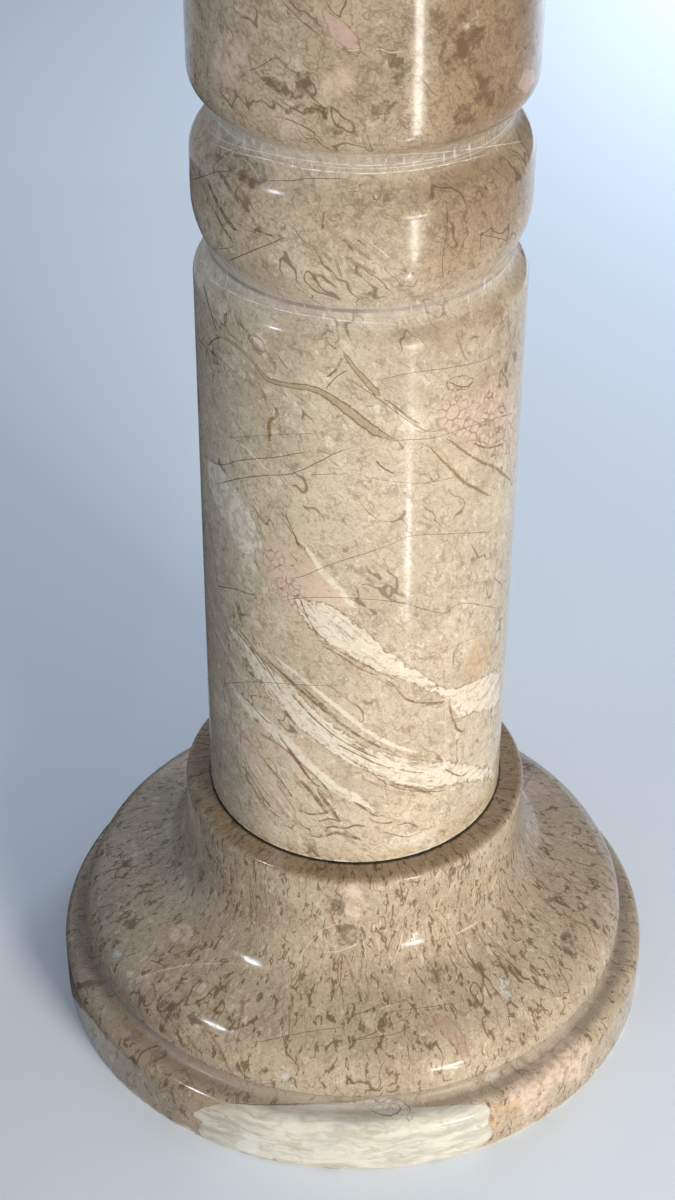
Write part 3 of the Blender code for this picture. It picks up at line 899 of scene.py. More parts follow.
PINK_SHARD = [(318, 5), (332, 14), (346, 24), (356, 36), (363, 49), (352, 50), (340, 44), (331, 36), (327, 24)]
shaft_pink = seen_patches(shaft, "pink", [PINK_SHARD, blob(527, 80, 18, 28, 15)])
BLUSH_CLAST = [(248, 543), (282, 540), (306, 548), (330, 572), (352, 604), (322, 612), (292, 600), (266, 580)]
PALE_LENS = [(238, 733), (251, 742), (268, 768), (284, 794), (297, 812), (292, 820), (277, 807), (260, 785), (244, 759)]
shaft_blush = seen_patches(shaft, "blush", [
    blob(340, 80, 34, 30, 30), blob(288, 122, 34, 18, 20), BLUSH_CLAST, blob(484, 410, 74, 44, -20),
    blob(300, 760, 30, 50, -25), blob(228, 60, 40, 50, 0), PALE_LENS])
GREY_SHARD = [(386, 51), (400, 52), (404, 66), (403, 84), (401, 96), (394, 84), (389, 68)]
brown_patches = [[(259, 68), (270, 73), (282, 82), (300, 92), (302, 100), (288, 98), (274, 92), (266, 82)],
                 blob(305, 81, 20, 22, 0), blob(382, 108, 16, 18, 0), blob(374, 118, 10, 16, 20),
                 blob(338, 128, 12, 18, 0), blob(470, 40, 34, 26, -30), blob(456, 60, 28, 18, -30),
                 blob(486, 92, 22, 34, 0), blob(462, 116, 24, 22, 0), blob(252, 174, 36, 26, 15), GREY_SHARD,
                 blob(320, 112, 30, 18, 20)]
shaft_brown = seen_patches(shaft, "smudge", brown_patches)
cream_patches = [blob(420, 840, 60, 18, 0), blob(250, 560, 26, 30, 0), blob(412, 420, 36, 20, 30),
                 blob(262, 342, 12, 26, -35), blob(345, 345, 10, 14, -30), blob(277, 830, 9, 9, 0),
                 blob(394, 843, 22, 12, 0), blob(375, 195, 8, 9, 0), blob(330, 812, 26, 10, 0), blob(466, 26, 8, 7, 0),
                 blob(479, 14, 7, 7, 0)]
shaft_cream = seen_patches(shaft, "cream", cream_patches)
outlined = [blob(459, 383, 32, 15, -8), blob(331, 337, 20, 14, 30), blob(282, 227, 9, 8, 0), blob(441, 234, 22, 20, 0),
            blob(345, 548, 9, 9, 0), blob(463, 714, 10, 8, 0), blob(318, 830, 24, 10, 0), blob(434, 476, 16, 10, 50),
            blob(376, 195, 9, 10, 20), blob(270, 770, 16, 26, -20), blob(479, 196, 7, 12, 10), blob(490, 180, 9, 6, 0),
            blob(484, 214, 6, 8, 0), blob(458, 398, 10, 6, 20), blob(474, 404, 8, 7, 0), blob(490, 396, 9, 6, -20),
            blob(484, 422, 10, 8, 0), blob(502, 410, 8, 8, 0), blob(468, 420, 8, 6, 30), blob(499, 430, 9, 6, 0),
            blob(258, 345, 12, 22, -35), PALE_LENS]
shaft_outlined = seen_patches(shaft, "shell", outlined)
orange_patches = [blob(478, 657, 26, 48, 20), blob(480, 668, 14, 14, 0)]
shaft_orange = seen_patches(shaft, "rust", orange_patches)
dots = [blob(292, 565, 5, 5), blob(314, 566, 3, 3), blob(314, 449, 2.5, 2.5), blob(314, 454, 2.5, 2.5),
        blob(393, 275, 4, 3), blob(413, 273, 6, 4), blob(421, 735, 3, 2.5), blob(417, 742, 3, 2.5),
        blob(414, 747, 2.5, 2.5), blob(423, 733, 2.5, 2.5)]
shaft_dots = seen_patches(shaft, "pit", dots)

# %% [markdown]
# ## The sides that the photograph doesn't show
# The back is made up, in keeping with the front and plainer. The bands are flat beds in the rock, and a round shaft
# cuts a flat bed in a wave, so the two bands rise on the right, go over the back and meet their own left ends.
# Those lines are written as degrees round from the front and millimetres above the floor.

# %% Carry the marks round the shaft
back_bands = [
    ([(77, 194), (100, 206), (130, 240), (160, 285), (190, 322), (220, 345), (250, 352), (275, 346), (288, 336)],
     [5.0, 6.0, 4.5, 3.0, 2.0, 2.8, 3.2, 2.4]),
    ([(73, 141), (100, 150), (130, 180), (160, 218), (190, 250), (225, 268), (260, 268), (285, 258), (300, 247)],
     [3.6, 4.6, 5.0, 3.4, 2.2, 1.8, 2.2, 1.4]),
    ([(-92, 640), (-60, 662), (-20, 690), (30, 735), (70, 772)], [1.2, 2.5, 3.5, 2.0, 1.0]),
    ([(120, 520), (150, 548), (190, 600), (230, 660), (258, 700)], [1.5, 3.0, 2.0, 1.0]),
]
back_olive = [
    ([(-75, 390), (-100, 398), (-130, 392), (-160, 375), (-185, 350), (-210, 322), (-240, 305)],
     [0.8, 1.2, 1.6, 1.2, 0.8]),
    ([(100, 470), (120, 440), (150, 425), (175, 400)], [0.6, 1.0, 0.7]),
    ([(72, 319), (95, 305), (120, 300), (150, 280)], [0.5, 0.8, 0.5]),
]
back_cracks = [
    ([(66, 252), (100, 262), (140, 250), (180, 258), (215, 240)], [0.15]),
    ([(-68, 334), (-100, 345), (-140, 338), (-175, 350), (-200, 345)], [0.18]),
    ([(-150, 560), (-120, 540), (-95, 548), (-75, 530)], [0.16]),
    ([(120, 600), (150, 570), (185, 560), (220, 520)], [0.20]),
    ([(90, 700), (120, 660), (160, 640), (200, 600)], [0.15]),
    ([(-160, 720), (-120, 690), (-80, 700), (-30, 660), (10, 650)], [0.16]),
    ([(100, 400), (130, 372), (170, 380), (200, 360)], [0.15]),
    ([(-20, 740), (20, 722), (60, 730), (95, 700)], [0.18]),
    ([(-100, 180), (-130, 170), (-165, 182), (-200, 170)], [0.15]),
]
back_brown = [
    ([(100, 640), (112, 625), (118, 600), (130, 585)], [1.0, 1.6, 0.8]),
    ([(150, 480), (165, 470), (180, 476)], [1.0]),
    ([(-110, 600), (-100, 585), (-104, 565)], [1.2]),
    ([(200, 700), (215, 690), (222, 668)], [1.3]),
    ([(-60, 720), (-52, 700), (-40, 694)], [1.3]),
    ([(20, 690), (28, 670), (42, 662)], [1.2]),
    ([(130, 330), (140, 318), (156, 312)], [0.8]),
    ([(-130, 230), (-118, 212), (-108, 208)], [0.7]),
]
back_band_layers = hidden_lines(shaft, "back_band", back_bands)
olive_layers += hidden_lines(shaft, "back_olive", back_olive)
crack_layers += hidden_lines(shaft, "back_crack", back_cracks)
brown_layers += hidden_lines(shaft, "back_brown", back_brown)
back_pink = hidden_patches(shaft, "back_pink", [
    blob(-120, 640, 16, 26, 20), blob(170, 500, 12, 20, -30), blob(110, 720, 14, 18, 0), blob(-20, 720, 10, 22, 30)])
back_smudge = hidden_patches(shaft, "back_smudge", [
    blob(140, 610, 16, 14), blob(-100, 520, 14, 12), blob(-170, 600, 16, 20), blob(60, 700, 14, 16),
    blob(-40, 640, 12, 14), blob(160, 440, 10, 12), blob(200, 540, 14, 14), blob(100, 560, 12, 16)])

# %% [markdown]
# ## The base's marks
# The base was cut from a darker block, full of short brown flecks. A greenish cream layer, which was a shell bed once,
# comes to the surface on the front of the slab.

# %% Trace the base's marks
base_cracks_and_corner_shade = [
    ([(250, 1043), (270, 1040), (294, 1034), (320, 1030), (344, 1027)], [0.16]),
    ([(150, 960), (165, 965)], [0.3]),
    ([(344, 1018), (362, 1012), (385, 1005), (410, 999)], [0.16]),
    ([(344, 1042), (370, 1038), (398, 1034), (414, 1024)], [0.16]),
    ([(374, 1016), (400, 1010), (440, 1006), (470, 1000)], [0.12]),
    # This line is painted shade along the inner corner under the bell, then a crack round the grey pieces.
    ([(228, 1103), (262, 1105), (300, 1104), (344, 1102), (362, 1100), (371, 1097), (380, 1104), (391, 1097),
      (403, 1101),
      (412, 1110), (404, 1119)], [0.35]),
    ([(369, 1109), (380, 1115), (393, 1116), (402, 1109), (396, 1103)], [0.3]),
]
base_crack_and_corner_shade_layers = seen_lines(base, "crack", base_cracks_and_corner_shade)
base_brown_lines = [
    ([(251, 860), (250, 910), (251, 950), (248, 975)], [0.25, 0.25, 0.3]),
    ([(247, 990), (243, 1004), (240, 1020), (238, 1032)], [0.8, 1.0, 0.5]),
    ([(501, 880), (504, 900), (512, 912), (518, 924)], [0.45]),
    ([(196, 1010), (208, 1030), (222, 1052), (232, 1078)], [0.5, 0.8, 0.5]),
    ([(182, 1066), (190, 1078), (196, 1092)], [0.5]),
    ([(228, 1068), (240, 1082), (246, 1094)], [0.5]),
    ([(176, 1020), (190, 1040), (205, 1058)], [0.5, 0.8, 0.4]),
    ([(288, 1000), (290, 1020), (288, 1042)], [0.5]),
    ([(302, 965), (298, 985), (303, 1004)], [0.6]),
    ([(335, 905), (331, 918), (338, 930)], [0.9]),
    ([(425, 860), (440, 866), (452, 880)], [0.5]),
    ([(575, 900), (590, 930), (600, 962)], [0.5]),
    ([(560, 905), (572, 925), (580, 950)], [0.6]),
    ([(545, 960), (556, 978), (562, 1000)], [0.5]),
    ([(528, 960), (537, 975), (540, 992)], [0.7]),
    ([(343, 952), (348, 964), (352, 976), (357, 990)], [0.5, 1.0, 0.8]),
    ([(430, 908), (436, 918), (446, 932), (452, 943)], [0.7, 1.1, 0.6]),
    ([(536, 890), (545, 900), (556, 908)], [0.5, 0.8, 0.4]),
    ([(510, 965), (517, 975), (521, 985)], [0.6]),
    ([(530, 998), (540, 1006), (548, 1014)], [0.5]),
    ([(492, 1002), (497, 1012), (498, 1024)], [0.5]),
    ([(290, 990), (293, 1003), (291, 1016)], [0.5]),
]
base_brown_layers = seen_lines(base, "brown", base_brown_lines)
base_pale_lines = [
    ([(125, 983), (150, 974), (175, 967), (195, 964), (222, 963), (240, 964), (260, 968)], [0.25, 0.35, 0.25]),
    ([(403, 928), (401, 942), (396, 956), (392, 968)], [0.25, 0.4, 0.3]),
    ([(359, 924), (364, 945), (367, 962)], [0.3]),
    ([(292, 983), (298, 965), (306, 946), (323, 930), (341, 922)], [0.22]),
    ([(320, 952), (338, 952), (360, 943)], [0.2]),
    ([(452, 936), (466, 929), (478, 922)], [0.25]),
]
base_pale_layers = seen_lines(base, "pale", base_pale_lines)
BASE_SHARD = [(430, 1014), (446, 1015), (458, 1026), (466, 1042), (472, 1062), (468, 1068), (456, 1048), (443, 1036)]
base_pink = seen_patches(base, "pink", [BASE_SHARD])
base_blush = seen_patches(base, "blush", [
    blob(354, 900, 20, 40, 0), blob(181, 934, 28, 20, 0), blob(560, 1060, 60, 70, 40), blob(528, 1096, 46, 40, 30)])
base_brown = seen_patches(base, "smudge", [
    blob(336, 905, 22, 24, 0), blob(348, 935, 30, 24, 0), blob(435, 974, 20, 20, 0), blob(569, 944, 18, 28, -20),
    blob(386, 1025, 14, 10, 0), blob(168, 1008, 30, 26, 40)])
CREAM_BED = [(189, 1114), (214, 1104), (245, 1104), (300, 1106), (360, 1102), (420, 1108), (470, 1104), (492, 1106),
             (487, 1122), (494, 1134), (486, 1142), (470, 1152), (430, 1162), (380, 1171), (330, 1171), (280, 1166),
             (240, 1156), (212, 1142), (196, 1132), (204, 1122)]
base_cream = seen_patches(base, "cream", [CREAM_BED])
base_grey = seen_patches(base, "grey", [
    blob(370, 1103, 14, 9, 0), blob(385, 1101, 16, 8, 10), blob(402, 1105, 17, 11, -10), blob(388, 1112, 20, 8, 0),
    blob(409, 1115, 10, 8, 0), blob(373, 1112, 9, 6, 0), blob(491, 1077, 14, 14), blob(503, 984, 11, 20),
    blob(508, 996, 8, 10), blob(118, 954, 14, 9), blob(285, 1077, 13, 9)])
base_outlined = seen_patches(base, "shell", [
    [(344, 1022), (372, 1008), (400, 998), (414, 1004), (408, 1018), (380, 1030), (356, 1040), (344, 1036)],
    blob(440, 925, 18, 34, -25)])
base_orange = seen_patches(base, "rust", [blob(496, 1116, 14, 30, 10), blob(512, 1108, 20, 18, 0)])
base_dots = seen_patches(base, "pit", [blob(451, 1006, 4, 3), blob(420, 1020, 3, 4), blob(364, 1018, 3, 3)])

# %% [markdown]
# ## The back of the base, and the capital
# Neither is in the picture, so they get a few marks of each kind that the front has, in keeping and plainer. These too
# are written as degrees round from the front and millimetres above the floor.

# %% Mark the base's back
base_crack_and_corner_shade_layers += hidden_lines(base, "back_crack", [
    ([(90, 100), (110, 80), (130, 60), (150, 42)], [0.16]),
    ([(-100, 110), (-125, 85), (-150, 70), (-165, 45)], [0.16]),
    ([(170, 125), (185, 95), (190, 60)], [0.18])])
base_brown_layers += hidden_lines(base, "back_brown", [
    ([(100, 62), (104, 50), (102, 42)], [0.8]), ([(130, 92), (134, 75), (131, 66)], [0.8]),
    ([(-110, 70), (-106, 56)], [0.9]), ([(-140, 96), (-137, 80), (-141, 70)], [0.7]),
    ([(180, 80), (184, 68), (182, 56)], [0.8]), ([(150, 56), (153, 44)], [0.7]), ([(-85, 82), (-82, 66)], [0.6])])
base_pale_layers += hidden_lines(base, "back_pale", [
    ([(110, 110), (125, 95), (150, 92), (175, 100)], [0.3]),
    ([(-90, 60), (-110, 52), (-135, 56)], [0.3])])
base_back = hidden_patches(base, "back_blush", [
    blob(120, 70, 14, 18, 20), blob(-130, 60, 12, 16, 0), blob(-165, 16, 22, 16, 0)])

# %% Mark the capital
capital_cracks = hidden_lines(capital, "crack", [
    ([(-70, 890), (-40, 872), (-10, 868), (20, 850), (45, 830)], [0.16]),
    ([(60, 900), (85, 880), (110, 850), (140, 835)], [0.18]),
    ([(-160, 884), (-130, 870), (-100, 845)], [0.16]),
    ([(170, 900), (190, 870), (215, 850)], [0.16])])
capital_browns = hidden_lines(capital, "brown", [
    ([(-30, 862), (-26, 850), (-29, 838)], [0.8]), ([(10, 897), (14, 885)], [0.7]), ([(50, 862), (54, 845)], [0.8]),
    ([(100, 872), (104, 858), (101, 846)], [0.8]), ([(150, 852), (154, 838)], [0.7]), ([(-80, 852), (-76, 838)], [0.8]),
    ([(-120, 898), (-117, 886)], [0.7]), ([(200, 862), (204, 846)], [0.8])])
capital_pales = hidden_lines(capital, "pale", [
    ([(-50, 820), (-20, 835), (15, 838), (40, 850)], [0.3]),
    ([(120, 820), (150, 840), (190, 842)], [0.35])])
capital_bands = hidden_lines(capital, "band", [
    ([(-80, 880), (-45, 872), (-15, 858), (10, 838), (30, 812)], [1.0, 2.4, 3.2, 2.0, 1.2])])
capital_blush = hidden_patches(capital, "blush", [
    blob(-15, 893, 12, 16, 0), blob(130, 850, 14, 14, 30), blob(-140, 860, 12, 16, 0)])
capital_smudge = hidden_patches(capital, "smudge", [
    blob(30, 872, 10, 10), blob(-60, 845, 12, 12), blob(90, 897, 10, 12), blob(172, 866, 12, 12)])

# %% [markdown]
# ## The marble
# Marble is not a picture on a surface: it goes through the stone. So the ground is made of noise read at Object
# coordinates, which is solid, and runs on round the back and under the foot. Only the base's short strokes are read at
# the unrolled places that the turning tree kept, because they follow its curves in the photograph.
# The ground has five sizes: clouds of a few centimetres, mottling of a few millimetres, short flecks, the curled
# outlines of shells, and a fine grain. The traced veins are then laid over it one kind at a time.

# %% Shader helpers


def attribute(tree, name):
    return add(tree, "ShaderNodeAttribute", attribute_type="GEOMETRY", attribute_name=name).outputs["Fac"]


def noise(tree, where, scale, detail=2.0, roughness=0.5):
    return add(tree, "ShaderNodeTexNoise", {"Vector": where, "Scale": scale, "Detail": detail,
                                            "Roughness": roughness}).outputs["Fac"]


def fade(tree, value, low, high, to_low=0.0, to_high=1.0):
    """A soft step: 0 below low and 1 above high. With low above high it runs the other way."""
    return add(tree, "ShaderNodeMapRange", {"Value": value, "From Min": low, "From Max": high, "To Min": to_low,
                                            "To Max": to_high}, interpolation_type="SMOOTHSTEP").outputs[0]


def times(tree, first, *others):
    """The product of two values or more."""
    for other in others:
        first = sums(tree, "MULTIPLY", first, other)
    return first


def apart(tree, a, b):
    """How far apart two values are."""
    return sums(tree, "ABSOLUTE", sums(tree, "SUBTRACT", a, b))


def tint(tree, share, under, over, kind="MIX"):
    """Lays one colour over another by a share."""
    made = add(tree, "ShaderNodeMix", data_type="RGBA", blend_type=kind)
    wire(tree, made, {0: share, 6: under, 7: over})
    return made.outputs[2]


def shade(tree, share, colour, tone):
    """Darkens a colour by a share of a tone."""
    return tint(tree, share, colour, tone, "MULTIPLY")


def squeezed(tree, where, scale):
    """Places counted by a scale of their own on each axis, for rings and streaks."""
    return add(tree, "ShaderNodeMapping", {"Vector": where, "Scale": scale}).outputs[0]


def warped(tree, where, scale, reach):
    """Places pushed about by a noise, so that what is drawn on them flows."""
    push = add(tree, "ShaderNodeTexNoise", {"Vector": where, "Scale": scale, "Detail": 2.0}).outputs["Color"]
    centred = add(tree, "ShaderNodeVectorMath", {0: push, 1: (0.5, 0.5, 0.5)}, operation="SUBTRACT").outputs[0]
    return add(tree, "ShaderNodeVectorMath", {0: centred, 1: (reach,) * 3, 2: where},
               operation="MULTIPLY_ADD").outputs[0]


# %% The ground of the marble
BED_TILT = (0.570, -0.502, 0.652)   # upright to the beds that the shaft cuts, worked out from the second band


def flowing(tree, where, across, along, lean=0.0):
    """Places counted in marks: a mark is across metres wide and along metres long, and leans by an angle in degrees."""
    return add(tree, "ShaderNodeMapping", {"Vector": where, "Rotation": (0.0, math.radians(lean), 0.0),
                                           "Scale": (across, across, along)}, vector_type="TEXTURE").outputs[0]


def bed_depth(tree, where):
    """How high in the rock's tilted beds a place is, in metres."""
    return add(tree, "ShaderNodeVectorMath", {0: where, 1: BED_TILT}, operation="DOT_PRODUCT").outputs["Value"]


def bedded(tree, where, thick, wide):
    """Places counted in leaves: a leaf lies flat in the tilted beds, thick metres deep and wide metres across."""
    flat = add(tree, "ShaderNodeSeparateXYZ", {0: where}).outputs
    counted = {axis: sums(tree, "DIVIDE", flat[axis], wide) for axis in "XY"}
    counted["Z"] = sums(tree, "DIVIDE", bed_depth(tree, where), thick)
    return add(tree, "ShaderNodeCombineXYZ", counted).outputs[0]


def thread(tree, where, scale, width, detail=1.0, level=0.5):
    """Thin curled lines, where a noise passes a level."""
    return fade(tree, apart(tree, noise(tree, where, scale, detail), level), width, width * 0.25)


def specks(tree, where, scale, size, share):
    """Small round grains at random: size is a radius as a share of a cell, and share is how many cells have one."""
    cells = add(tree, "ShaderNodeTexVoronoi", {"Vector": where, "Scale": scale}, feature="F1")
    chance = add(tree, "ShaderNodeSeparateColor", {0: cells.outputs["Color"]}).outputs[0]
    radius = fade(tree, chance, 1.0 - share, 1.0, 0.0, size)
    return fade(tree, sums(tree, "SUBTRACT", cells.outputs["Distance"], radius), 0.05, -0.08)


def ground(tree, solid, marks, tones, lean, strength, curling, plenty):
    """The mottled ground of the marble.

    marks is where its strokes are drawn, and they lean by an angle in degrees. strength is how dark the strokes and
    the mottling are, curling is how dark the curled lines are, and a higher plenty gives more strokes.
    """
    eddies = warped(tree, solid, 45.0, 0.012)
    curdled = warped(tree, flowing(tree, marks, 1.0, 1.6, lean), 240.0, 0.004)
    patchy = fade(tree, noise(tree, solid, 48.0, 2.0), 0.38, 0.60, 0.25, 1.0)

    clouds = fade(tree, noise(tree, eddies, 24.0, 3.0), 0.36, 0.66)
    colour = tint(tree, clouds, tones["body"], tones["cloud"])
    pale = fade(tree, noise(tree, eddies, 95.0, 4.0, 0.6), 0.48, 0.72, 0.0, 0.50)
    colour = tint(tree, pale, colour, tones["pale"])
    mottled = fade(tree, noise(tree, curdled, 165.0, 5.0, 0.75), 0.50, 0.70, 0.0, 0.60 * strength)
    colour = tint(tree, mottled, colour, tones["dark"])
    shells = fade(tree, noise(tree, curdled, 290.0, 2.0, 0.6), 0.59, 0.69, 0.0, 0.42)
    colour = tint(tree, shells, colour, tones["shell"])

    curls = times(tree, thread(tree, curdled, 105.0, 0.022, 2.0), patchy, 0.8 * curling)
    colour = tint(tree, curls, colour, tones["line"])
    fine = thread(tree, curdled, 210.0, 0.040, 2.0, 0.46)
    fine = times(tree, fine, fade(tree, noise(tree, solid, 90.0, 1.0), 0.42, 0.58), 0.8 * curling)
    colour = tint(tree, fine, colour, tones["line"])
    commas = thread(tree, flowing(tree, warped(tree, marks, 130.0, 0.007), 0.0060, 0.0150, lean), 1.0, 0.054, 2.0)
    pieces = noise(tree, flowing(tree, marks, 0.0045, 0.0080, lean), 1.0, 2.0)
    commas = times(tree, commas, fade(tree, pieces, 0.520 - plenty, 0.560 - plenty), 0.95 * strength)
    colour = tint(tree, commas, colour, tones["fleck"])
    long_lines = thread(tree, flowing(tree, warped(tree, marks, 70.0, 0.010), 0.018, 0.055, lean), 1.0, 0.013, 2.0)
    long_lines = times(tree, long_lines, fade(tree, noise(tree, solid, 34.0, 1.0), 0.50, 0.58), 0.8)
    colour = tint(tree, long_lines, colour, tones["line"])
    strokes = noise(tree, flowing(tree, warped(tree, marks, 110.0, 0.008), 0.0019, 0.0064, lean), 1.0, 4.0, 0.65)
    strokes = times(tree, fade(tree, strokes, 0.625 - plenty, 0.675 - plenty), patchy, 0.75 * strength)
    colour = tint(tree, strokes, colour, tones["fleck"])

    dark_specks = times(tree, specks(tree, eddies, 260.0, 0.22, 0.10), 0.8 * strength)
    colour = tint(tree, dark_specks, colour, tones["fleck"])
    pale_specks = times(tree, specks(tree, curdled, 150.0, 0.34, 0.10), 0.45)
    colour = tint(tree, pale_specks, colour, tones["shell"])
    grain = fade(tree, noise(tree, solid, 850.0, 3.0, 0.8), 0.44, 0.70, 0.0, 0.45)
    return tint(tree, grain, colour, tones["line"])


# %% Veins over the ground
RAGGED_GAIN = 3.2             # a noise keeps to its middle, so it is stretched by this to fill an edge's reach
COAT = 0.06                   # the wax over the polish


def ragged(tree, solid, reach, scale=150.0):
    """A value that roughens an edge by up to reach either way."""
    return sums(tree, "MULTIPLY_ADD", noise(tree, solid, scale, 5.0, 0.7), reach * RAGGED_GAIN,
                -reach * RAGGED_GAIN / 2)


def crumbled(tree, solid, full=0.60, least=0.15):
    """A share, from least to 1, that breaks a colour up into crumbs."""
    return fade(tree, noise(tree, solid, 230.0, 4.0, 0.7), 0.38, full, least, 1.0)


def off_mark(tree, name, wiggle):
    """How far a place is from a line's middle or a patch's edge, roughened by a wiggle."""
    return sums(tree, "ABSOLUTE", sums(tree, "ADD", attribute(tree, name), wiggle))


def over_lines(tree, colour, layers, wiggle, amount, tone, soft=0.35):
    """Lays one kind of vein over a colour."""
    for name in layers:
        inside = fade(tree, off_mark(tree, name, wiggle), 1.0 + soft, 1.0 - soft)
        colour = tint(tree, times(tree, inside, amount), colour, tone)
    return colour


def over_line_edges(tree, colour, layers, wiggle, amount, tone):
    """Draws the two dark edges of each wide vein."""
    for name in layers:
        edge = apart(tree, off_mark(tree, name, wiggle), 1.0)
        colour = tint(tree, fade(tree, edge, 0.34, 0.10, 0.0, amount), colour, tone)
    return colour


def over_patch(tree, colour, name, wiggle, amount, tone, soft=0.5):
    """Lays a kind of inclusion over a colour."""
    edge = sums(tree, "ADD", attribute(tree, name), wiggle)
    return tint(tree, times(tree, fade(tree, edge, soft, -soft), amount), colour, tone)


def over_rim(tree, colour, name, wiggle, amount, tone, width=0.35):
    """Draws a thin rim round a kind of inclusion."""
    edge = fade(tree, off_mark(tree, name, wiggle), width * 1.5, width * 0.4)
    return tint(tree, times(tree, edge, amount), colour, tone)


def finish_stone(material, colour, gloss, height):
    """Sets the polish: a colour, a roughness and a relief in metres."""
    tree = material.node_tree
    relief = add(tree, "ShaderNodeBump", {"Height": height, "Distance": 1.0, "Strength": 1.0}).outputs[0]
    wire(tree, tree.nodes["Principled BSDF"], {"Base Color": colour, "Roughness": gloss, "Normal": relief, "IOR": 1.5,
                                               "Coat Weight": COAT, "Coat Roughness": 0.05})


def hand_polish(tree, solid):
    """The faint waves, in metres, that polishing by hand leaves in a stone."""
    return times(tree, noise(tree, solid, 40.0, 2.0), 0.00006)


# %% [markdown]
# ## The shaft's finish
# The shaft's block was not even: it is pale and creamy at the foot, and darker and browner from the band up, most of
# all on the right, where brown clots lie close. Below the band its right flank gets patches of painted shade. The bands
# are laid over that ground, then the pieces of other stone, then the veins and cracks that cut them all. Dust and
# scratches come last, because they lie on the surface, and with them a line of painted shade in the lower groove.

# %% The shaft's ground
SHAFT_TONES = dict(body=(0.580, 0.490, 0.362, 1), cloud=(0.485, 0.405, 0.295, 1), pale=(0.720, 0.630, 0.490, 1),
                   dark=(0.300, 0.230, 0.150, 1), line=(0.180, 0.120, 0.068, 1), fleck=(0.120, 0.078, 0.045, 1),
                   shell=(0.800, 0.720, 0.590, 1))
SHAFT_LEAN = -42.0            # the shaft's strokes run down to the right
UPPER_SHADE, BROWN_SHADE, SIDE_SHADE = (0.72, 0.66, 0.585, 1), (0.78, 0.69, 0.58, 1), (0.84, 0.78, 0.74, 1)
CLOT, SEAM = (0.190, 0.122, 0.062, 1), (0.200, 0.130, 0.070, 1)


def shaft_ground(tree, solid, right, height):
    """The shaft's ground, by the place, how far right of the axis it is, and its height."""
    colour = ground(tree, solid, solid, SHAFT_TONES, SHAFT_LEAN, 0.36, 0.36, -0.018)
    muddy = fade(tree, noise(tree, solid, 16.0, 2.0), 0.3, 0.7, -0.03, 0.03)
    upper = fade(tree, sums(tree, "ADD", height, muddy), LOWER_GROOVE_Z - 0.05, UPPER_GROOVE_Z + 0.02)
    colour = shade(tree, times(tree, upper, 0.75), colour, UPPER_SHADE)
    browner = times(tree, upper, fade(tree, right, 0.005, 0.045), 0.85)
    colour = shade(tree, browner, colour, BROWN_SHADE)
    # Painted shade, in patches, on the shaft's right flank below the band.
    side = times(tree, fade(tree, right, 0.020, 0.060),
                 fade(tree, height, LOWER_GROOVE_Z - 0.12, LOWER_GROOVE_Z - 0.02),
                 fade(tree, noise(tree, solid, 40.0, 3.0), 0.36, 0.56))
    colour = shade(tree, side, colour, SIDE_SHADE)
    clots = fade(tree, noise(tree, warped(tree, solid, 60.0, 0.010), 120.0, 6.0, 0.78), 0.545, 0.585)
    clots = times(tree, clots, fade(tree, noise(tree, solid, 26.0, 1.0), 0.47, 0.56),
                  fade(tree, right, -0.01, 0.03, 0.22, 0.80), upper)
    colour = tint(tree, clots, colour, CLOT)
    curled = times(tree, thread(tree, warped(tree, solid, 240.0, 0.004), 95.0, 0.026, 2.0), upper, 0.42)
    return tint(tree, curled, colour, SHAFT_TONES["line"])


# %% The shaft's bands
CREAM, BLUSH = (0.735, 0.675, 0.565, 1), (0.62, 0.46, 0.37, 1)
BAND_ONE_DEPTH, BAND_TWO_DEPTH = 0.164, 0.152     # where the two bands lie in the rock's beds


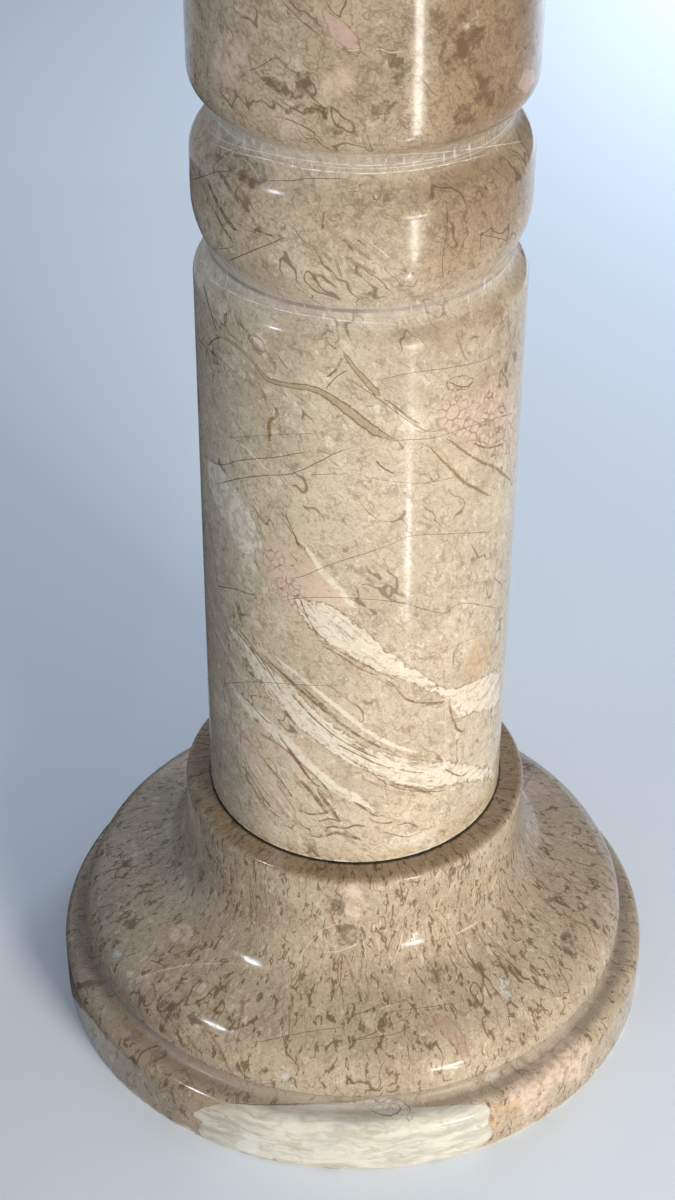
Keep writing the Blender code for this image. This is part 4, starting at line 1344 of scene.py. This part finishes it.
def over_bands(tree, solid, height, colour, broken, grainy):
    """Lays the cream bands, the pale pieces among them and the leaves of rock that show in them."""
    coarse, frayed = ragged(tree, solid, 3.4), ragged(tree, solid, 2.6)
    colour = over_patch(tree, colour, shaft_blush, coarse, times(tree, broken, 0.65), BLUSH, 2.2)
    colour = over_patch(tree, colour, shaft_cream, coarse, times(tree, broken, 0.6), CREAM, 1.4)
    colour = over_patch(tree, colour, shaft_grey, frayed, times(tree, broken, 0.9), CREAM, 0.8)
    colour = over_rim(tree, colour, shaft_grey, frayed, times(tree, broken, 0.6), SEAM)

    colour = over_patch(tree, colour, shaft_pebbly, coarse, times(tree, broken, 0.6), BLUSH, 1.5)
    joints = add(tree, "ShaderNodeTexVoronoi", {"Vector": warped(tree, solid, 200.0, 0.003), "Scale": 210.0},
                 feature="DISTANCE_TO_EDGE").outputs["Distance"]
    among = fade(tree, sums(tree, "ADD", attribute(tree, shaft_pebbly), coarse), 1.0, -1.0)
    colour = tint(tree, times(tree, fade(tree, joints, 0.10, 0.03), among, broken, 0.8), colour, SEAM)

    crisp = sums(tree, "ADD", ragged(tree, solid, 2.6, 95.0), ragged(tree, solid, 1.1, 420.0))
    colour = over_patch(tree, colour, shaft_bands, crisp, times(tree, grainy, 0.76), CREAM, 0.35)
    colour = over_rim(tree, colour, shaft_bands, crisp, times(tree, broken, 0.8), SEAM, 0.45)
    strand_edge, back_edge = ragged(tree, solid, 0.9, 170.0), ragged(tree, solid, 1.6, 110.0)
    colour = over_lines(tree, colour, strand_layers, strand_edge, times(tree, grainy, 0.80), CREAM, 0.3)
    fading = fade(tree, noise(tree, solid, 38.0, 3.0), 0.36, 0.56, 0.15, 0.85)
    colour = over_lines(tree, colour, back_band_layers, back_edge, times(tree, grainy, fading), CREAM, 0.4)

    in_band = fade(tree, attribute(tree, shaft_bands), 1.5, -0.5)
    leaves = noise(tree, bedded(tree, warped(tree, solid, 90.0, 0.003), 0.0016, 0.0150), 1.0, 3.0, 0.6)
    fewer = fade(tree, bed_depth(tree, solid), BAND_ONE_DEPTH, BAND_TWO_DEPTH, 0.50, 1.0)
    colour = tint(tree, times(tree, fade(tree, leaves, 0.53, 0.59), fewer, in_band, broken, 0.85), colour, SEAM)
    crumbs = noise(tree, warped(tree, solid, 200.0, 0.002), 420.0, 4.0, 0.75)
    colour = tint(tree, times(tree, fade(tree, crumbs, 0.56, 0.64), in_band, 0.55), colour, SEAM)
    near_bands = fade(tree, height, SHAFT_FOOT + 0.16, SHAFT_FOOT + 0.10)
    sheets = noise(tree, bedded(tree, warped(tree, solid, 60.0, 0.006), 0.0030, 0.0260), 1.0, 4.0, 0.65)
    return tint(tree, times(tree, fade(tree, sheets, 0.58, 0.64), near_bands, broken, 0.55), colour, SEAM)


# %% The shaft's inclusions and veins
OLIVE, OCHRE, BROWN = (0.310, 0.250, 0.130, 1), (0.205, 0.130, 0.036, 1), (0.170, 0.102, 0.050, 1)
PINK, SMUDGE, RUST = (0.50, 0.345, 0.275, 1), (0.150, 0.098, 0.052, 1), (0.48, 0.28, 0.12, 1)
CRACK_AND_CORNER_SHADE, PIT = (0.075, 0.052, 0.035, 1), (0.015, 0.012, 0.010, 1)


def over_inclusions(tree, solid, colour, broken, grainy):
    """Lays the pieces of pink, brown and orange stone, and the outlines of shells."""
    coarse, small = ragged(tree, solid, 3.4), ragged(tree, solid, 0.8, 340.0)
    smudge_edge, back_edge = ragged(tree, solid, 3.0, 190.0), ragged(tree, solid, 3.4, 150.0)
    colour = over_patch(tree, colour, shaft_pink, small, times(tree, grainy, 0.85), PINK, 0.35)
    colour = over_rim(tree, colour, shaft_pink, small, times(tree, broken, 0.7), BROWN, 0.30)
    colour = over_patch(tree, colour, shaft_brown, smudge_edge, times(tree, broken, 0.9), SMUDGE, 0.35)
    colour = over_patch(tree, colour, back_pink, coarse, times(tree, grainy, 0.7), BLUSH, 0.8)
    colour = over_patch(tree, colour, back_smudge, back_edge, times(tree, broken, 0.8), SMUDGE, 0.5)
    colour = over_patch(tree, colour, shaft_orange, coarse, times(tree, broken, 0.5), RUST, 2.0)
    return over_rim(tree, colour, shaft_outlined, ragged(tree, solid, 1.0, 210.0), times(tree, broken, 0.75), BROWN)


def over_veins(tree, solid, colour, broken, grainy):
    """Lays the veins, the brown seams, the hair cracks and the pits, which cut all that came before."""
    vein_edge, thin = ragged(tree, solid, 0.55, 260.0), ragged(tree, solid, 1.5, 240.0)
    colour = over_lines(tree, colour, olive_layers, vein_edge, times(tree, grainy, 0.72), OLIVE)
    colour = over_line_edges(tree, colour, olive_layers, vein_edge, 0.85, BROWN)
    ochre_edge, stroke_edge = ragged(tree, solid, 0.9, 200.0), ragged(tree, solid, 0.6, 260.0)
    colour = over_lines(tree, colour, ochre_layers, ochre_edge, times(tree, grainy, 0.85), OCHRE)
    colour = over_lines(tree, colour, brown_layers, vein_edge, times(tree, broken, 0.85), BROWN, 0.5)
    colour = over_lines(tree, colour, stroke_layers, stroke_edge, times(tree, broken, 0.95), SMUDGE, 0.5)
    drawn = crumbled(tree, solid, 0.56, 0.45)
    colour = over_lines(tree, colour, seam_layers, ragged(tree, solid, 0.7, 220.0), drawn, SEAM, 0.4)
    colour = over_lines(tree, colour, pale_layers, vein_edge, times(tree, broken, 0.8), CREAM, 0.5)
    colour = over_lines(tree, colour, crack_layers, thin, 0.85, CRACK_AND_CORNER_SHADE, 0.7)
    return over_patch(tree, colour, shaft_dots, 0.0, 1.0, PIT, 0.3)


# %% Wear and painted shade in the grooves
GROOVE_SHADE, GROOVE_SHADE_RISE = (0.23, 0.19, 0.165, 1), 0.0010   # painted shade: a dark line along the lower groove's bottom
GROOVE_GREY, SCRATCH = (0.50, 0.475, 0.44, 1), (0.82, 0.80, 0.77, 1)
UPPER_DUST, LOWER_DUST = (0.008, 0.009), (0.010, 0.010)       # how far the dust reaches up and down
UPPER_MATT, LOWER_MATT = (0.0062, 0.0132), (0.0066, 0.0104)   # and the matt bottom, which no cloth reaches


def dusty(tree, height, z, reach):
    up, down = reach
    return times(tree, fade(tree, height, z + up, z), fade(tree, height, z - down, z))


def unpolished(tree, height, z, reach):
    up, down = reach
    return times(tree, fade(tree, height, z + up, z + up * 0.8), fade(tree, height, z - down, z - down * 0.85))


def worn_shaft(tree, solid, height, colour, broken):
    """Lays groove dust, turning marks, painted shade in the lower groove and foot wear; gives colour, gloss, relief."""
    dust = sums(tree, "MAXIMUM", dusty(tree, height, UPPER_GROOVE_Z, UPPER_DUST),
                dusty(tree, height, LOWER_GROOVE_Z, LOWER_DUST))
    matt = sums(tree, "MAXIMUM", unpolished(tree, height, UPPER_GROOVE_Z, UPPER_MATT),
                unpolished(tree, height, LOWER_GROOVE_Z, LOWER_MATT))
    rings = noise(tree, squeezed(tree, solid, (6.0, 6.0, 1500.0)), 1.0, 3.0, 0.7)
    colour = tint(tree, times(tree, dust, fade(tree, rings, 0.30, 0.70, 0.10, 0.60)), colour, GROOVE_GREY)
    colour = tint(tree, times(tree, dust, fade(tree, rings, 0.56, 0.62), 0.45), colour, SCRATCH)
    # Painted shade: a dark, broken line along the lower groove's bottom.
    off_bottom = apart(tree, height, LOWER_GROOVE_Z + GROOVE_SHADE_RISE)
    groove_shade = times(tree, fade(tree, off_bottom, 0.0014, 0.0005),
                  fade(tree, noise(tree, solid, 110.0, 4.0, 0.7), 0.36, 0.58, 0.3, 0.85))
    colour = tint(tree, groove_shade, colour, GROOVE_SHADE)
    nicks = noise(tree, squeezed(tree, solid, (420.0, 420.0, 60.0)), 1.0, 3.0, 0.7)
    colour = tint(tree, times(tree, dust, fade(tree, nicks, 0.60, 0.66), 0.5), colour, SCRATCH)
    scratch_edge = ragged(tree, solid, 0.9, 240.0)
    colour = over_lines(tree, colour, scratch_layers, scratch_edge, times(tree, broken, 0.8), SCRATCH, 0.6)
    worn = times(tree, fade(tree, height, SHAFT_FOOT + 0.0024, SHAFT_FOOT + 0.0008),
                 fade(tree, noise(tree, solid, 160.0, 4.0, 0.7), 0.48, 0.56), 0.8)
    colour = tint(tree, worn, colour, SCRATCH)
    gloss = sums(tree, "MULTIPLY_ADD", matt, 0.34, fade(tree, noise(tree, solid, 260.0, 3.0), 0.3, 0.8, 0.13, 0.24))
    relief = sums(tree, "ADD", hand_polish(tree, solid), times(tree, rings, dust, 0.00008))
    return colour, gloss, relief


# %% The shaft's marble


def shaft_marble(material):
    tree = material.node_tree
    solid = tree.nodes.new("ShaderNodeTexCoord").outputs["Object"]
    parts = add(tree, "ShaderNodeSeparateXYZ", {0: solid}).outputs
    right, height = parts["X"], parts["Z"]
    broken = crumbled(tree, solid)
    grainy = fade(tree, noise(tree, solid, 300.0, 5.0, 0.8), 0.36, 0.52, 0.42, 1.0)
    colour = shaft_ground(tree, solid, right, height)
    colour = over_bands(tree, solid, height, colour, broken, grainy)
    colour = over_inclusions(tree, solid, colour, broken, grainy)
    colour = over_veins(tree, solid, colour, broken, grainy)
    finish_stone(material, *worn_shaft(tree, solid, height, colour, broken))


shaft_marble(shaft_stone.data.materials[0])
print("shaft marble:", len(shaft_stone.data.materials[0].node_tree.nodes), "nodes")

# %% [markdown]
# ## The base's finish
# The base's block is darker and full of short brown strokes. The pale bed at its front has a colour of its own, in
# streaks that lie level, and it is laid on like an inclusion. The cove over the slab is painted grey, as painted shade,
# and is duller; the seat gets painted shade and a dark ring along the joint at the shaft's foot; the block's two ends
# get painted shade; and the arris of the foot is painted pale, as worn chips and a painted highlight.

# %% The base's bed
BASE_TONES = dict(body=(0.465, 0.385, 0.278, 1), cloud=(0.380, 0.308, 0.220, 1), pale=(0.590, 0.500, 0.370, 1),
                  dark=(0.210, 0.150, 0.092, 1), line=(0.130, 0.080, 0.042, 1), fleck=(0.140, 0.084, 0.040, 1),
                  shell=(0.700, 0.610, 0.475, 1))
BED_PALE, BED_GREEN, BED_OCHRE = (0.61, 0.595, 0.52, 1), (0.44, 0.44, 0.385, 1), (0.54, 0.48, 0.34, 1)
BED_LINE, BED_WHITE = (0.40, 0.36, 0.27, 1), (0.70, 0.70, 0.66, 1)


def cream_bed(tree, wrap):
    """The colour of the pale bed: greenish and ochre streaks, thin crossing lines and white spots."""
    swirled = noise(tree, flowing(tree, warped(tree, wrap, 60.0, 0.010), 0.020, 0.0048), 1.0, 4.0, 0.65)
    bed = tint(tree, fade(tree, swirled, 0.40, 0.62), BED_PALE, BED_GREEN)
    crossed = thread(tree, flowing(tree, warped(tree, wrap, 60.0, 0.014), 0.030, 0.009), 1.0, 0.022, 3.0)
    bed = tint(tree, times(tree, crossed, 0.55), bed, BED_LINE)
    streaks = noise(tree, flowing(tree, wrap, 0.009, 0.0030), 1.0, 4.0, 0.7)
    bed = tint(tree, fade(tree, streaks, 0.56, 0.68, 0.0, 0.5), bed, BED_OCHRE)
    return tint(tree, fade(tree, noise(tree, wrap, 45.0, 3.0), 0.55, 0.68, 0.0, 0.6), bed, BED_WHITE)


# %% The base's inclusions and veins
PALE_BLUSH, CHALK, SHARD_RED = (0.69, 0.54, 0.44, 1), (0.55, 0.56, 0.55, 1), (0.355, 0.220, 0.165, 1)
RED_BROWN, DARK_SMUDGE = (0.25, 0.13, 0.06, 1), (0.12, 0.075, 0.045, 1)


def over_base(tree, solid, wrap, colour, broken):
    """Lays the bed, the pieces of other stone, the veins and the cracks over the base's ground."""
    coarse, small = ragged(tree, solid, 3.4), ragged(tree, solid, 0.8, 340.0)
    colour = over_patch(tree, colour, base_blush, coarse, times(tree, broken, 0.7), PALE_BLUSH, 2.0)
    colour = over_patch(tree, colour, base_back, coarse, times(tree, broken, 0.6), BLUSH, 1.5)
    nearly_all = fade(tree, noise(tree, solid, 260.0, 3.0), 0.25, 0.5, 0.75, 1.0)
    colour = over_patch(tree, colour, base_cream, small, nearly_all, cream_bed(tree, wrap), 0.4)
    chalky = fade(tree, noise(tree, solid, 330.0, 4.0, 0.7), 0.38, 0.56, 0.35, 1.0)
    chipped = ragged(tree, solid, 3.4, 330.0)
    colour = over_patch(tree, colour, base_grey, chipped, times(tree, chalky, 0.85), CHALK, 0.5)
    colour = over_rim(tree, colour, base_grey, chipped, times(tree, broken, 0.55), CRACK_AND_CORNER_SHADE)
    split = fade(tree, noise(tree, flowing(tree, wrap, 0.0016, 0.0090), 1.0, 3.0, 0.7), 0.40, 0.58, 0.15, 1.0)
    colour = over_patch(tree, colour, base_pink, small, times(tree, split, 0.85), SHARD_RED, 0.4)
    colour = over_rim(tree, colour, base_pink, small, times(tree, broken, 0.7), BROWN)
    colour = over_patch(tree, colour, base_brown, coarse, times(tree, broken, 0.75), DARK_SMUDGE, 1.2)
    colour = over_patch(tree, colour, base_orange, ragged(tree, solid, 3.0, 220.0), times(tree, broken, 0.45), RUST)
    colour = over_rim(tree, colour, base_outlined, ragged(tree, solid, 1.0, 210.0), times(tree, broken, 0.8), BROWN)
    vein_edge, thin = ragged(tree, solid, 0.55, 260.0), ragged(tree, solid, 1.5, 240.0)
    colour = over_lines(tree, colour, base_brown_layers, vein_edge, times(tree, broken, 0.9), RED_BROWN, 0.5)
    colour = over_lines(tree, colour, base_pale_layers, thin, times(tree, broken, 0.7), CREAM, 0.6)
    colour = over_lines(tree, colour, base_crack_and_corner_shade_layers, thin, 0.8, CRACK_AND_CORNER_SHADE, 0.6)
    return over_patch(tree, colour, base_dots, 0.0, 1.0, PIT, 0.3)


# %% Painted shade on the base
# Tones of painted shade for the block's ends, the seat and the cove.
EDGE_SHADE, SEAT_SHADE, COVE_SHADE = (0.80, 0.76, 0.73, 1), (0.60, 0.50, 0.41, 1), (0.30, 0.265, 0.235, 1)
BASE_MATT = (0.10, 0.20)      # the roughness of its polish, from the smoothest to the dullest


def painted_end_shade(tree, solid, parts, colour):
    """Paints shade on the block's two ends: the right one behind the front, and the left one low down."""
    cloudy = fade(tree, noise(tree, solid, 22.0, 2.0), 0.3, 0.7, -0.015, 0.015)
    across = sums(tree, "ADD", parts["X"], cloudy)
    right = times(tree, fade(tree, across, 0.055, 0.095), fade(tree, parts["Y"], -0.070, -0.030))
    left = times(tree, fade(tree, across, -0.040, -0.080), fade(tree, parts["Z"], 0.058, 0.040))
    return shade(tree, times(tree, sums(tree, "MAXIMUM", right, left), 0.9), colour, EDGE_SHADE)


def shaded_seat(tree, solid, parts, colour):
    """Paints shade on the seat, with a dark ring along the joint at the shaft's foot."""
    level = add(tree, "ShaderNodeCombineXYZ", {"X": parts["X"], "Y": parts["Y"]}).outputs[0]
    out_from_axis = add(tree, "ShaderNodeVectorMath", {0: level}, operation="LENGTH").outputs["Value"]
    seat = fade(tree, parts["Z"], BASE_HEIGHT - 0.0030, BASE_HEIGHT - 0.0004)
    # Painted shade over the seat.
    colour = shade(tree, times(tree, seat, 0.75), colour, SEAT_SHADE)
    joint_reach = sums(tree, "MULTIPLY_ADD", noise(tree, solid, 130.0, 4.0, 0.7), 0.0024, out_from_axis)
    ring = times(tree, seat, fade(tree, joint_reach, SHAFT_RADIUS + 0.0026, SHAFT_RADIUS + 0.0014), 0.9)
    return tint(tree, ring, colour, PIT)


# %% The base's marble


def base_marble(material):
    tree = material.node_tree
    solid = tree.nodes.new("ShaderNodeTexCoord").outputs["Object"]
    parts = add(tree, "ShaderNodeSeparateXYZ", {0: solid}).outputs
    wrap = add(tree, "ShaderNodeAttribute", attribute_type="GEOMETRY", attribute_name="wrap").outputs["Vector"]
    broken = crumbled(tree, solid)
    colour = ground(tree, solid, wrap, BASE_TONES, 0.0, 0.85, 0.42, -0.008)
    colour = over_base(tree, solid, wrap, colour, broken)
    colour = painted_end_shade(tree, solid, parts, colour)
    colour = shaded_seat(tree, solid, parts, colour)
    # Painted shade in streaks in the cove over the slab; the cove's polish is duller too.
    cove = times(tree, fade(tree, parts["Z"], SLAB_HEIGHT + 0.013, SLAB_HEIGHT + 0.004),
                 fade(tree, parts["Z"], SLAB_HEIGHT - 0.001, SLAB_HEIGHT + 0.001))
    streaks = noise(tree, squeezed(tree, wrap, (14.0, 14.0, 700.0)), 1.0, 3.0, 0.7)
    colour = tint(tree, times(tree, cove, fade(tree, streaks, 0.30, 0.70, 0.30, 0.85)), colour, COVE_SHADE)
    # The foot's arris is painted pale: worn chips, and a painted highlight of the light along the chamfer.
    rubbed_and_lit = times(tree, fade(tree, parts["Z"], 0.0026, 0.0010),
                   fade(tree, noise(tree, solid, 60.0, 4.0, 0.7), 0.36, 0.56, 0.25, 1.0), 0.8)
    colour = tint(tree, rubbed_and_lit, colour, CREAM)
    gloss = sums(tree, "MULTIPLY_ADD", cove, 0.18, fade(tree, noise(tree, solid, 260.0, 3.0), 0.3, 0.8, *BASE_MATT))
    finish_stone(material, colour, gloss, hand_polish(tree, solid))


base_marble(base_stone.data.materials[0])
print("base marble:", len(base_stone.data.materials[0].node_tree.nodes), "nodes")

# %% [markdown]
# ## The capital's finish
# The capital is out of the picture. It gets the base's marble, because the two would be cut from one block, with its
# strokes leaning a little and fewer marks.

# %% The capital's marble
CAPITAL_LEAN = 15.0


def capital_marble(material):
    tree = material.node_tree
    solid = tree.nodes.new("ShaderNodeTexCoord").outputs["Object"]
    broken = crumbled(tree, solid)
    coarse, thin = ragged(tree, solid, 3.4), ragged(tree, solid, 1.5, 240.0)
    band_edge, vein_edge = ragged(tree, solid, 0.5, 150.0), ragged(tree, solid, 0.55, 260.0)
    colour = ground(tree, solid, solid, BASE_TONES, CAPITAL_LEAN, 0.85, 0.42, -0.008)
    colour = over_lines(tree, colour, capital_bands, band_edge, times(tree, broken, 0.8), CREAM, 0.2)
    colour = over_patch(tree, colour, capital_blush, coarse, times(tree, broken, 0.6), BLUSH, 1.5)
    colour = over_patch(tree, colour, capital_smudge, coarse, times(tree, broken, 0.8), SMUDGE, 0.6)
    colour = over_lines(tree, colour, capital_browns, vein_edge, times(tree, broken, 0.9), RED_BROWN, 0.5)
    colour = over_lines(tree, colour, capital_pales, thin, times(tree, broken, 0.7), CREAM, 0.6)
    colour = over_lines(tree, colour, capital_cracks, thin, 0.8, CRACK_AND_CORNER_SHADE, 0.6)
    gloss = fade(tree, noise(tree, solid, 260.0, 3.0), 0.3, 0.8, *BASE_MATT)
    finish_stone(material, colour, gloss, hand_polish(tree, solid))


capital_marble(capital_stone.data.materials[0])
print("capital marble:", len(capital_stone.data.materials[0].node_tree.nodes), "nodes")

# %% [markdown]
# ## Fit the stones to the frame
# Each stone stands for one CAD node, which is hidden, and rides on the column's only body.

# %% Hand the stones over
for stone, node in ((base_stone, "base"), (shaft_stone, "shaft"), (capital_stone, "capital")):
    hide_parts(node)
    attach(stone, "root")
